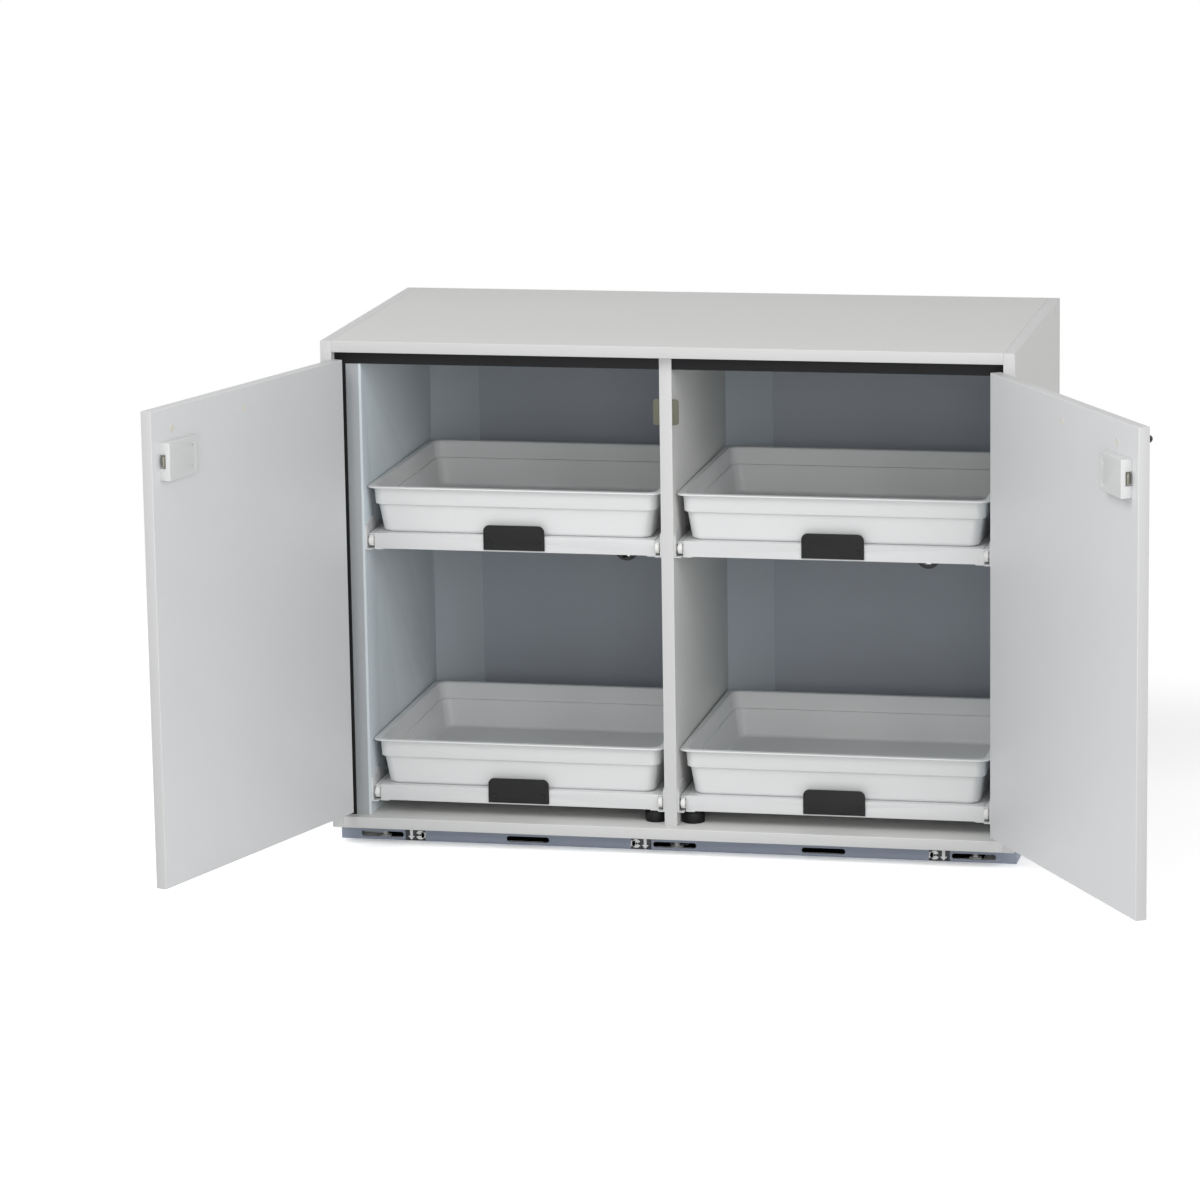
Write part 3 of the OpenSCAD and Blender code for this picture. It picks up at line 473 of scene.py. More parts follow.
def clean_copy(node):
    """A working copy of a CAD node's mesh, with its corners merged and its flat faces joined."""
    work = bmesh.new()
    work.from_mesh(frame["nodes"][node].data)
    bmesh.ops.remove_doubles(work, verts=work.verts, dist=WELD)
    bmesh.ops.dissolve_limit(work, angle_limit=FLAT_ANGLE, verts=work.verts, edges=work.edges)
    return work


def closed_copy(node, side):
    """A clean copy of a door's node, turned back to where it is when the door is closed."""
    work = clean_copy(node)
    work.transform(door_turn(side).inverted())
    return work


def closed_box(node, side):
    """The box of a door's node when the door is closed."""
    work = closed_copy(node, side)
    box = box_of([vert.co for vert in work.verts])
    work.free()
    return box


def round_edges(work, radius, segments=3):
    """Rounds the sharp outer edges and marks the new faces for edge wear."""
    sharp = [
        edge for edge in work.edges
        if edge.is_manifold and edge.is_convex and edge.calc_face_angle(0) > EDGE_ANGLE
    ]
    layer = work.faces.layers.float.get("edge_wear") or work.faces.layers.float.new("edge_wear")
    made = bmesh.ops.bevel(
        work, geom=sharp, offset=radius, offset_type="OFFSET", segments=segments, profile=0.5,
        affect="EDGES", clamp_overlap=True,
    )
    for face in made["faces"]:
        face[layer] = 1.0
    return work


def to_mesh(work, name):
    mesh = bpy.data.meshes.new(name)
    work.to_mesh(mesh)
    work.free()
    return mesh


def soften(node, material, radius, segments=3):
    """Gives a CAD node rounded edges, as its own piece."""
    work = round_edges(clean_copy(node), radius, segments)
    return place_piece(f"{node}_finished", to_mesh(work, node), node, [material])


def rounded_board(low, high, radius, thin):
    """A board with rounded edges: its broad faces have the first material, its bands the second."""
    work = bmesh.new()
    bmesh.ops.create_cube(work, size=1.0)
    size = high - low
    for vert in work.verts:
        vert.co = Vector((low[i] + (vert.co[i] + 0.5) * size[i] for i in range(3)))
    round_edges(work, radius)
    work.normal_update()
    for face in work.faces:
        face.material_index = 0 if abs(face.normal[thin]) > BROAD else 1
    return work


def on_circle(radius, angle):
    return radius * math.cos(angle), radius * math.sin(angle)


def lathe(profile, place, steps=48, ring=False):
    """A turned shape: profile holds (radius, height) pairs, and place moves its axis from Z."""
    work = bmesh.new()
    loops = []
    for radius, height in profile:
        if radius < TINY:
            loops.append([work.verts.new(place @ Vector((0, 0, height)))])
            continue
        spots = [on_circle(radius, 2 * math.pi * i / steps) for i in range(steps)]
        loops.append([work.verts.new(place @ Vector((*spot, height))) for spot in spots])
    pairs = list(zip(loops, loops[1:]))
    if ring:
        pairs.append((loops[-1], loops[0]))
    for low, high in pairs:
        for i in range(steps):
            j = (i + 1) % steps
            corners = [low[i % len(low)], low[j % len(low)], high[j % len(high)], high[i % len(high)]]
            work.faces.new(list(dict.fromkeys(corners)))
    bmesh.ops.recalc_face_normals(work, faces=work.faces)
    return work


def axis_place(point, direction):
    """Moves the Z axis to start at a point and run in a direction."""
    turn = Vector(direction).to_track_quat("Z", "Y").to_matrix().to_4x4()
    return Matrix.Translation(Vector(point)) @ turn


def merge(works):
    """Joins several working meshes into one."""
    whole = bmesh.new()
    for work in works:
        part = bpy.data.meshes.new("part")
        work.to_mesh(part)
        work.free()
        whole.from_mesh(part)
        bpy.data.meshes.remove(part)
    return whole


def islands(work):
    """The separate solids of a working mesh, as lists of points."""
    left, found = set(work.verts), []
    while left:
        stack, group = [left.pop()], []
        while stack:
            vert = stack.pop()
            group.append(vert.co.copy())
            for edge in vert.link_edges:
                other = edge.other_vert(vert)
                if other in left:
                    left.remove(other)
                    stack.append(other)
        found.append(group)
    return found


def turned_solids(work, shape, ring=False):
    """Turned shapes for the solids of a working mesh; shape gives a solid's profile and place."""
    solids = islands(work)
    work.free()
    return merge([lathe(*shape(points), ring=ring) for points in solids])


# ---------------------------------------------------------------- Geometry Nodes


# The recess of a screw's head, as shares of the head's radius
RECESS_LENGTH = 1.15
RECESS_WIDTH = 0.26
# The foot of a flat head against its top, and a shank against the foot of its head
SHANK_SHARE = 0.97


def screw_tree():
    """Screws at points: a head with a cross recess and a short shank, aimed by an attribute."""
    tree, given, end = new_group(
        "Cabinet screws",
        "GeometryNodeTree",
        (
            ("Geometry", GEOMETRY, None),
            ("Top Radius", FLOAT, 0.004),
            ("Bottom Radius", FLOAT, 0.002),
            ("Head Height", FLOAT, 0.002),
            ("Shank Length", FLOAT, 0.006),
            ("Material", MATERIAL, None),
        ),
        (("Geometry", GEOMETRY),),
    )

    def vector(**parts):
        return add_node(tree, "ShaderNodeCombineXYZ", parts).outputs[0]

    def move(geometry, **change):
        inputs = {"Geometry": geometry, **change}
        return add_node(tree, "GeometryNodeTransform", inputs).outputs["Geometry"]

    head = add_node(
        tree, "GeometryNodeMeshCone",
        {
            "Vertices": 24, "Side Segments": 1, "Fill Segments": 1,
            "Radius Top": given["Top Radius"], "Radius Bottom": given["Bottom Radius"],
            "Depth": given["Head Height"],
        },
    ).outputs["Mesh"]
    # Two crossed bars cut the recess, as deep as half the head
    bar_size = vector(
        X=maths(tree, "MULTIPLY", given["Top Radius"], RECESS_LENGTH),
        Y=maths(tree, "MULTIPLY", given["Top Radius"], RECESS_WIDTH),
        Z=given["Head Height"],
    )
    bar = add_node(tree, "GeometryNodeMeshCube", {"Size": bar_size}).outputs["Mesh"]
    raised = move(bar, Translation=vector(Z=given["Head Height"]))
    turned = move(raised, Rotation=(0, 0, math.pi / 2))
    for cutter in (raised, turned):
        cut = add_node(
            tree, "GeometryNodeMeshBoolean", {"Mesh 1": head, "Mesh 2": cutter}, operation="DIFFERENCE"
        )
        head = cut.outputs["Mesh"]
    shank = add_node(
        tree, "GeometryNodeMeshCylinder",
        {
            "Vertices": 16, "Depth": given["Shank Length"],
            "Radius": maths(tree, "MULTIPLY", given["Bottom Radius"], SHANK_SHARE),
        },
    ).outputs["Mesh"]
    lowered = move(shank, Translation=vector(Z=maths(tree, "MULTIPLY", given["Shank Length"], -0.5)))
    screw = add_node(tree, "GeometryNodeJoinGeometry")
    for solid in (lowered, head):
        tree.links.new(solid, screw.inputs["Geometry"])
    aim = add_node(tree, "GeometryNodeInputNamedAttribute", {"Name": "aim"}, data_type="FLOAT_VECTOR")
    align = add_node(
        tree, "FunctionNodeAlignRotationToVector", {"Vector": aim.outputs["Attribute"]}, axis="Z"
    )
    spread = add_node(
        tree, "GeometryNodeInstanceOnPoints",
        {
            "Points": given["Geometry"], "Instance": screw.outputs["Geometry"],
            "Rotation": align.outputs["Rotation"],
        },
    )
    finish_tree(tree, given, end, spread.outputs["Instances"])
    return tree


def coil_tree():
    """A wire that winds round Z: a spring or the ridge of a thread."""
    tree, given, end = new_group(
        "Cabinet coil",
        "GeometryNodeTree",
        (
            ("Geometry", GEOMETRY, None),
            ("Turns", FLOAT, 10.0),
            ("Radius", FLOAT, 0.002),
            ("Length", FLOAT, 0.02),
            ("Wire Radius", FLOAT, 0.0003),
            ("Material", MATERIAL, None),
        ),
        (("Geometry", GEOMETRY),),
    )
    spiral = add_node(
        tree, "GeometryNodeCurveSpiral",
        {
            "Resolution": 20, "Rotations": given["Turns"], "Start Radius": given["Radius"],
            "End Radius": given["Radius"], "Height": given["Length"],
        },
    )
    wire = add_node(
        tree, "GeometryNodeCurvePrimitiveCircle", {"Resolution": 8, "Radius": given["Wire Radius"]}
    )
    sweep = add_node(
        tree, "GeometryNodeCurveToMesh",
        {
            "Fill Caps": True, "Curve": spiral.outputs["Curve"],
            "Profile Curve": wire.outputs["Curve"],
        },
    )
    finish_tree(tree, given, end, sweep.outputs["Mesh"])
    return tree


def finish_tree(tree, given, end, geometry):
    """Ends a tree: instances become real, and take the material."""
    real = add_node(tree, "GeometryNodeRealizeInstances", {"Geometry": geometry})
    paint = add_node(
        tree, "GeometryNodeSetMaterial",
        {"Geometry": real.outputs["Geometry"], "Material": given["Material"]},
    )
    tree.links.new(paint.outputs["Geometry"], end.inputs["Geometry"])


TREES = {}


def grow(tree_maker, carrier, material, **values):
    """Runs a Geometry Nodes tree on a carrier mesh and returns the plain mesh that it makes."""
    if tree_maker not in TREES:
        TREES[tree_maker] = tree_maker()
    tree = TREES[tree_maker]
    holder = bpy.data.objects.new("carrier", carrier)
    bpy.context.scene.collection.objects.link(holder)
    modifier = holder.modifiers.new("Tree", "NODES")
    modifier.node_group = tree
    wanted = {key.replace("_", " ").title(): value for key, value in values.items()}
    wanted["Material"] = finish(material)
    for item in tree.interface.items_tree:
        if item.item_type == "SOCKET" and item.in_out == "INPUT" and item.name in wanted:
            modifier[item.identifier] = wanted[item.name]
    bpy.context.view_layer.update()
    graph = bpy.context.evaluated_depsgraph_get()
    mesh = bpy.data.meshes.new_from_object(holder.evaluated_get(graph))
    bpy.data.objects.remove(holder)
    return mesh


def grow_coil(material, place, **values):
    """A coil as a working mesh, with its start and its axis moved from Z by place."""
    mesh = grow(coil_tree, bpy.data.meshes.new("carrier"), material, **values)
    work = bmesh.new()
    work.from_mesh(mesh)
    work.transform(place)
    return work


def point_mesh(points, aims):
    mesh = bpy.data.meshes.new("points")
    mesh.from_pydata([tuple(p) for p in points], [], [])
    attribute = mesh.attributes.new("aim", "FLOAT_VECTOR", "POINT")
    for i, aim in enumerate(aims):
        attribute.data[i].vector = aim
    return mesh


def read_screws(work, turn):
    """The screws in a working mesh: head point, aim, the two radii, head height and length."""
    found = []
    for points in islands(work):
        low, high, middle = box_of(points)
        spans = [high[i] - low[i] for i in range(3)]
        # A screw is as wide as it is deep across its axis
        axis = min(range(3), key=lambda i: abs(spans[(i + 1) % 3] - spans[(i + 2) % 3]))
        across = [(axis + 1) % 3, (axis + 2) % 3]

        def reach(at):
            near = [p for p in points if abs(p[axis] - at) < SAME_LEVEL]
            return max(math.hypot(*(p[i] - middle[i] for i in across)) for p in near)

        top, bottom = high[axis], low[axis]
        if reach(top) <= reach(bottom):
            top, bottom = bottom, top
        sign = 1 if top > bottom else -1
        levels = sorted({round(p[axis], DIGITS) for p in points}, key=lambda level: -sign * level)
        seat = levels[1]
        aim = Vector((0, 0, 0))
        aim[axis] = sign
        head = middle.copy()
        head[axis] = seat
        sizes = {
            "top": reach(top), "shank": reach(bottom), "height": abs(top - seat),
            "length": abs(seat - bottom),
        }
        found.append({
            "point": turn @ head, "aim": turn.to_3x3() @ aim,
            "flat": reach(seat) > reach(bottom) + SAME_SIZE,
            **{name: round(size, DIGITS) for name, size in sizes.items()},
        })
    return found


def make_screws(node, material, turn=None, painted=()):
    """Replaces a node of plain screws by screws with a cross recess, one piece for each kind.

    Heads whose height is among the painted ones take the colour of the latch housing.
    """
    turn = turn or Matrix.Identity(4)
    work = clean_copy(node)
    work.transform(turn.inverted())
    kinds = {}
    for screw in read_screws(work, turn):
        kinds.setdefault((screw["top"], screw["height"], screw["length"]), []).append(screw)
    work.free()
    for number, (top, height, length) in enumerate(sorted(kinds), 1):
        screws = kinds[top, height, length]
        first = screws[0]
        colour = "latch" if any(abs(height - known) < SAME_SIZE for known in painted) else material
        carrier = point_mesh([s["point"] for s in screws], [s["aim"] for s in screws])
        mesh = grow(
            screw_tree, carrier, colour, top_radius=top, head_height=height, shank_length=length,
            bottom_radius=top * SHANK_SHARE if first["flat"] else first["shank"],
        )
        place_piece(f"{node}_kind_{number}", mesh, node, [colour])


# ---------------------------------------------------------------- pieces


class CABINET_OT_boards(Operator):
    """Make the carcass boards with their edge bands"""

    bl_idname = "scene.cabinet_boards"
    bl_label = "Boards"

    def execute(self, context):
        radius = context.scene.cabinet_details.board_edge
        for node, thin in BOARDS.items():
            work = rounded_board(*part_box(node), radius, thin)
            place_piece(f"{node}_finished", to_mesh(work, node), node, ["board", "band"])
        return {"FINISHED"}


class CABINET_OT_lining(Operator):
    """Make the back panel, inner walls, fillers, duct boards and seal strips"""

    bl_idname = "scene.cabinet_lining"
    bl_label = "Lining"

    def execute(self, context):
        details = context.scene.cabinet_details
        dress("back_panel", "back")
        soften("inner_walls", "lining", details.sheet_edge)
        soften("hinge_fillers", "filler", details.sheet_edge)
        soften("duct_boards", "duct", details.sheet_edge)
        soften("seal_strips", "seal", details.moulded_edge)
        return {"FINISHED"}


# The thread on a levelling stud: above the floor, below the board, and its ridge's share of a pitch
THREAD_START = 0.0055
THREAD_GAP = 0.001
RIDGE_SHARE = 0.3

# The marks on the plinth: the slot ends that they start from, and which way they run from there
MARKED_SLOTS = ((-0.445, 1), (-0.035, -1), (0.445, -1))
# Their middle above the rail's lower edge, and how far each layer stands proud of what is below it
MARK_LEVEL = 0.0095
MARK_PROUD = 0.00012
# The dark ground and the signs' places, from the slot's end
PATCH_START, PATCH_END, PATCH_HALF = 0.003, 0.036, 0.009
ARROW_PLACE, SPANNER_PLACE = 0.013, 0.0275


class CABINET_OT_plinth(Operator):
    """Make the plinth, its slots' marks, the levelling feet and the floor caps"""

    bl_idname = "scene.cabinet_plinth"
    bl_label = "Plinth"

    def execute(self, context):
        details = context.scene.cabinet_details
        soften("plinth_front_rail", "plinth", details.sheet_edge)
        soften("plinth_inner_rails", "plinth", details.sheet_edge)
        soften("levelling_feet", "nylon", details.sheet_edge)
        soften("floor_caps", "black", details.moulded_edge)
        self.add_threads(details)
        self.add_marks()
        return {"FINISHED"}

    def add_threads(self, details):
        """The thread's ridge on each levelling stud, between its disc and the bottom board."""
        node = "levelling_feet"
        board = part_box("bottom_panel")[0].z
        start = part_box(node)[0].z + THREAD_START
        length = board - THREAD_GAP - start
        feet = clean_copy(node)
        threads = []
        for points in islands(feet):
            stud = [p for p in points if p.z > board]
            if stud:
                low, high, middle = box_of(stud)
                threads.append(grow_coil(
                    "nylon", Matrix.Translation((middle.x, middle.y, start)),
                    turns=length / details.thread_pitch, radius=(high.x - low.x) / 2, length=length,
                    wire_radius=details.thread_pitch * RIDGE_SHARE,
                ))
        feet.free()
        place_piece(f"{node}_threads", to_mesh(merge(threads), "threads"), node, ["nylon"], replace=False)

    def add_marks(self):
        """Plain arrow and spanner marks beside the slots that give access to the feet."""
        node = "plinth_front_rail"
        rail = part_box(node)[0]
        z = rail.z + MARK_LEVEL
        sign = rail.y - MARK_PROUD
        for number, (end, hand) in enumerate(MARKED_SLOTS, 1):
            patch = flat_shape(patch_outline(), end, rail.y, z, hand)
            arrow = flat_shape(arrow_outline(), end + hand * ARROW_PLACE, sign, z)
            spanner = [
                flat_shape(outline, end + hand * SPANNER_PLACE, sign, z, hand)
                for outline in spanner_outlines()
            ]
            signs = merge([arrow, *spanner])
            for kind, work, colour in (("patch", patch, "dark_mark"), ("sign", signs, "white_mark")):
                place_piece(f"mark_{kind}_{number}", to_mesh(work, kind), node, [colour], replace=False)


def flat_shape(outline, x, y, z, hand=1):
    """A thin plate with an outline in the XZ plane, standing proud towards the front."""
    work = bmesh.new()
    verts = [work.verts.new((x + hand * px, y, z + pz)) for px, pz in outline]
    face = work.faces.new(verts)
    made = bmesh.ops.extrude_face_region(work, geom=[face])
    for vert in (v for v in made["geom"] if isinstance(v, bmesh.types.BMVert)):
        vert.co.y -= MARK_PROUD
    bmesh.ops.recalc_face_normals(work, faces=work.faces)
    return work


def patch_outline():
    """The dark ground of a mark, from its slot's end."""
    return [
        (PATCH_START, -PATCH_HALF), (PATCH_END, -PATCH_HALF), (PATCH_END, PATCH_HALF),
        (PATCH_START, PATCH_HALF),
    ]


def arrow_outline(half=0.0024, head=0.0056, tip=-0.0085, neck=-0.0020, top=0.0080):
    """An arrow that points down."""
    return [
        (-half, top), (-half, neck), (-head, neck), (0, tip), (head, neck), (half, neck), (half, top)
    ]


def spanner_outlines(ring=0.0072, bore=0.0019, grip=0.0045, length=0.0085, opening=24, steps=20):
    """An open spanner that lies on its side: a jaw on the left and a straight grip."""
    first = math.pi + math.radians(opening)
    last = 3 * math.pi - math.radians(opening)
    turns = [first + (last - first) * i / steps for i in range(steps + 1)]
    outer = [on_circle(ring, turn) for turn in turns]
    inner = [on_circle(bore, turn) for turn in reversed(turns)]
    return [outer + inner, [(bore, -grip), (length, -grip), (length, grip), (bore, grip)]]


class CABINET_OT_doors(Operator):
    """Make the two door panels with their edge bands"""

    bl_idname = "scene.cabinet_doors"
    bl_label = "Doors"

    def execute(self, context):
        radius = context.scene.cabinet_details.board_edge
        for side in SIDES:
            node = f"{side}_door_panel"
            low, high, _ = closed_box(node, side)
            work = rounded_board(low, high, radius, Y)
            work.transform(door_turn(side))
            place_piece(f"{node}_finished", to_mesh(work, node), node, ["door", "band"])
        return {"FINISHED"}


# The edge radius of a hinge leaf against other sheet metal, and of a latch against other mouldings
LEAF_EDGE = 0.25
LATCH_EDGE = 0.6


class CABINET_OT_hinges(Operator):
    """Finish the piano hinges"""

    bl_idname = "scene.cabinet_hinges"
    bl_label = "Hinges"

    def execute(self, context):
        edge = context.scene.cabinet_details.sheet_edge * LEAF_EDGE
        soften("hinge_frame_leaves", "zinc", edge, segments=1)
        for side in SIDES:
            soften(f"{side}_door_hinge_leaf", "zinc", edge, segments=1)
        return {"FINISHED"}


class CABINET_OT_handles(Operator):
    """Make the bow handles and the plugs over their screws"""

    bl_idname = "scene.cabinet_handles"
    bl_label = "Handles"

    def execute(self, context):
        for side in SIDES:
            soften(f"{side}_door_handle", "black", context.scene.cabinet_details.sheet_edge)
            self.make_plugs(side)
        return {"FINISHED"}

    def make_plugs(self, side):
        """Cover plugs with a rolled edge and a shallow dish."""
        node = f"{side}_screw_covers"
        plugs = turned_solids(closed_copy(node, side), self.plug_shape)
        plugs.transform(door_turn(side))
        place_piece(f"{node}_finished", to_mesh(plugs, node), node, ["plug"])

    def plug_shape(self, points, edge_share=0.12, dish_share=0.05, dish_start=0.72, dish_end=0.62):
        """A plug's profile and place; the dish is given as shares of its depth and its radius."""
        low, high, middle = box_of(points)
        radius, depth = (high.x - low.x) / 2, high.y - low.y
        edge, dish = depth * edge_share, depth * dish_share
        corner = edge * CORNER_SHARE
        profile = [
            (0, 0), (radius, 0), (radius, depth - edge), (radius - corner, depth - corner),
            (radius - edge, depth), (radius * dish_start, depth), (radius * dish_end, depth - dish),
            (0, depth - dish),
        ]
        return profile, axis_place((middle.x, low.y, middle.z), (0, 1, 0))


class CABINET_OT_latches(Operator):
    """Make the latch housings, bolts, springs and the strike plate"""

    bl_idname = "scene.cabinet_latches"
    bl_label = "Latches"

    def execute(self, context):
        details = context.scene.cabinet_details
        for side in SIDES:
            soften(f"{side}_latch_housing", "latch", details.moulded_edge * LATCH_EDGE)
            soften(f"{side}_latch_bolt", "bolt", details.sheet_edge)
            self.make_spring(side, details)
        soften("strike_plate", "strike", details.sheet_edge)
        return {"FINISHED"}

    def make_spring(self, side, details):
        """The coiled spring behind a bolt, at its length with the door closed; the real spring shortens as the
        bolt is pressed in.
        """
        node = f"{side}_latch_spring"
        low, high, middle = closed_box(node, side)
        wire = details.spring_wire
        length = high.x - low.x
        work = grow_coil(
            "zinc", axis_place((low.x + wire, middle.y, middle.z), (1, 0, 0)),
            turns=details.spring_turns, radius=(high.z - low.z) / 2 - wire, length=length - 2 * wire,
            wire_radius=wire,
        )
        work.transform(door_turn(side))
        piece = place_piece(f"{node}_coil", to_mesh(work, node), node, ["zinc"])
        # The left spring's fixed end is its low end in the closed pose, the right one's its high end
        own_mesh(piece)


class CABINET_OT_runners(Operator):
    """Finish the runners, the slides on the shelves and their rollers"""

    bl_idname = "scene.cabinet_runners"
    bl_label = "Runners"

    def execute(self, context):
        details = context.scene.cabinet_details
        soften("cabinet_runners", "sheet", details.sheet_edge)
        for quarter in QUARTERS:
            soften(f"{quarter}_slides", "sheet", details.sheet_edge)
            for end in ("front", "rear"):
                node = f"{quarter}_{end}_rollers"
                rollers = turned_solids(clean_copy(node), self.roller_shape, ring=True)
                place_piece(f"{node}_finished", to_mesh(rollers, node), node, ["nylon"])
        return {"FINISHED"}

    def roller_shape(
        self, points, edge=0.0008, hub_wall=0.0016, rim_wall=0.0018, dish=0.0009, slope=0.0003
    ):
        """A roller with a rounded tread and a dished face on both sides, and where it sits."""
        low, high, middle = box_of(points)
        radius, width = (high.z - low.z) / 2, high.x - low.x
        bore = min(math.hypot(p.y - middle.y, p.z - middle.z) for p in points)
        hub, rim, corner = bore + hub_wall, radius - rim_wall, edge * CORNER_SHARE
        half = [
            (bore, 0), (hub, 0), (hub + slope, dish), (rim - slope, dish), (rim, 0),
            (radius - edge, 0), (radius - corner, corner), (radius, edge),
        ]
        profile = half + [(r, width - h) for r, h in reversed(half)]
        return profile, axis_place((low.x, middle.y, middle.z), (1, 0, 0))


class CABINET_OT_shelves(Operator):
    """Finish the folded shelves and their pull plates"""

    bl_idname = "scene.cabinet_shelves"
    bl_label = "Shelves"

    def execute(self, context):
        details = context.scene.cabinet_details
        for quarter in QUARTERS:
            soften(f"{quarter}_shelf", "sheet", details.moulded_edge)
            soften(f"{quarter}_pull", "black", details.sheet_edge)
        return {"FINISHED"}


# A tray's wall and rim, and how far its sections stand in from the rim's outer edge
TRAY_WALL = 0.0025
TRAY_RIM = 0.003
RIM_IN, BAND_IN, STEP_IN, BASE_IN = 0.008, 0.0095, 0.013, 0.0195
TRAY_STEP = 0.046
TRAY_EDGE = 0.0012
# How far the walls lean, below the step and above it, and inner edges against the outer ones
BASE_LEAN, BAND_LEAN = 0.0008, 0.0001
SOFT_SHARE, RIM_SHARE, STEP_SHARE = 0.4, 1.4, 1.5


class CABINET_OT_trays(Operator):
    """Make the moulded trays, with round corners and fillets"""

    bl_idname = "scene.cabinet_trays"
    bl_label = "Trays"

    def execute(self, context):
        details = context.scene.cabinet_details
        for quarter in QUARTERS:
            node = f"{quarter}_tray"
            low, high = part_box(node)
            section = self.section(high.z - low.z, details.tray_fillet)
            work = self.tray(low, high, section, details.tray_corner)
            place_piece(f"{node}_finished", to_mesh(work, node), node, ["tray"])
        return {"FINISHED"}

    def section(self, height, fillet):
        """One sheet of even wall, as insets and heights: up the outside, then down the inside."""
        edge, corner, soft = TRAY_EDGE, TRAY_EDGE * CORNER_SHARE, TRAY_EDGE * SOFT_SHARE
        lip = height - TRAY_RIM
        shelf = TRAY_STEP + TRAY_WALL
        rim, band, step = RIM_IN + TRAY_WALL, BAND_IN + TRAY_WALL, STEP_IN + TRAY_WALL
        base = BASE_IN + fillet
        return [
            (base, 0.0),
            *self.arc(base, fillet, fillet, 180, 90),
            (STEP_IN + BASE_LEAN, TRAY_STEP - edge),
            (STEP_IN, TRAY_STEP - corner),
            (BAND_IN + edge, TRAY_STEP),
            (BAND_IN + corner, TRAY_STEP + corner),
            (BAND_IN, TRAY_STEP + edge),
            (RIM_IN + BAND_LEAN, lip - edge),
            (RIM_IN - soft, lip - soft),
            (RIM_IN - edge, lip),
            (edge, lip),
            (corner, lip + corner),
            (0, lip + edge),
            (0, height - edge),
            (corner, height - corner),
            (edge, height),
            (rim - edge, height),
            (rim, height - edge * RIM_SHARE),
            (band, shelf + edge),
            (band + soft, shelf),
            (step, shelf - soft),
            (step + BASE_LEAN / 2, shelf - edge * STEP_SHARE),
            *self.arc(base + TRAY_WALL, fillet + TRAY_WALL, fillet, 90, 180),
        ]

    def tray(self, low, high, section, corner):
        """The section, carried round a rectangle with rounded corners and closed by its floor."""
        work = bmesh.new()
        loops = [self.loop(work, low, high, inset, low.z + up, corner) for inset, up in section]
        for first, second in zip(loops, loops[1:]):
            for i in range(len(first)):
                j = (i + 1) % len(first)
                work.faces.new([first[i], first[j], second[j], second[i]])
        work.faces.new(loops[0])
        work.faces.new(loops[-1])
        bmesh.ops.recalc_face_normals(work, faces=work.faces)
        return work

    def arc(self, inset, up, radius, start, stop, steps=5):
        """Points of a fillet in the wall's section, as insets and heights."""
        points = []
        for i in range(steps + 1):
            turn = math.radians(start + (stop - start) * i / steps)
            points.append((inset - radius * math.sin(turn), up + radius * math.cos(turn)))
        return points

    def loop(self, work, low, high, inset, z, corner, steps=8):
        """A rounded rectangle at one height, in from the rim."""
        x0, x1 = low.x + inset + corner, high.x - inset - corner
        y0, y1 = low.y + inset + corner, high.y - inset - corner
        verts = []
        for x, y, start in ((x1, y1, 0), (x0, y1, 90), (x0, y0, 180), (x1, y0, 270)):
            for i in range(steps + 1):
                across, along = on_circle(corner, math.radians(start + 90 * i / steps))
                verts.append(work.verts.new((x + across, y + along, z)))
        return verts


# The head height of the latches' screws, which are painted as their housing
PAINTED_HEAD = 0.002


class CABINET_OT_fasteners(Operator):
    """Make the screws, the connector caps and the air rosettes"""

    bl_idname = "scene.cabinet_fasteners"
    bl_label = "Fasteners"

    def execute(self, context):
        make_screws("carcass_screws", "zinc")
        for side in SIDES:
            make_screws(f"{side}_door_screws", "zinc", door_turn(side), painted=(PAINTED_HEAD,))
        node = "connector_caps"
        caps = turned_solids(clean_copy(node), self.cap_shape)
        place_piece(f"{node}_finished", to_mesh(caps, node), node, ["band"])
        soften("vent_rosettes", "vent", context.scene.cabinet_details.sheet_edge)
        return {"FINISHED"}

    def cap_shape(self, points, dome=0.00015, edge=0.0004, drop=0.1, rim_rise=0.4, half_rise=0.9):
        """A slightly domed cap in a side board, and where it sits.

        The drop is a share of the edge; the rises, at the rim and halfway in, are shares of the dome.
        """
        low, high, middle = box_of(points)
        radius, depth = (high.z - low.z) / 2, high.x - low.x
        profile = [
            (0, 0), (radius, 0), (radius, depth - edge),
            (radius - edge * CORNER_SHARE, depth - edge * drop),
            (radius - edge, depth + dome * rim_rise), (radius / 2, depth + dome * half_rise),
            (0, depth + dome),
        ]
        hand, inner = (1, low.x) if low.x > 0 else (-1, high.x)
        return profile, axis_place((inner, middle.y, middle.z), (hand, 0, 0))


# ---------------------------------------------------------------- stage


# The camera, in the cabinet's frame
CAMERA_PLACE = (1.5478, -7.9773, 2.0842)
CAMERA_YAW = math.radians(12.128)
CAMERA_PITCH = math.radians(11.973)
CAMERA_ROLL = math.radians(-0.895)
CAMERA_LENS = 153.44
CAMERA_SENSOR = 36.0
CAMERA_NEAR, CAMERA_FAR = 0.1, 100.0

# Each lamp's place, the point that it faces and its width
LAMPS = {
    "key": ((-2.2, -3.4, 4.2), (0, -0.1, 0.3), 3.0),
    "fill": ((3.4, -3.6, 2.4), (0, -0.1, 0.3), 3.0),
    "front": ((0.6, -5.2, 1.0), (0, 0.2, 0.5), 2.6),
}

FLOOR_HALF = 20.0
FLOOR_ROUGHNESS = 0.9
# The painted shade sheet: a dark sheet that stands in for the shade under the carcass. It lies inside the
# carcass's outline, behind the plinth's front, just off the floor
PAINTED_SHADE_INSET = 0.04
PAINTED_SHADE_FRONT = 0.022
PAINTED_SHADE_LIFT = 0.0003


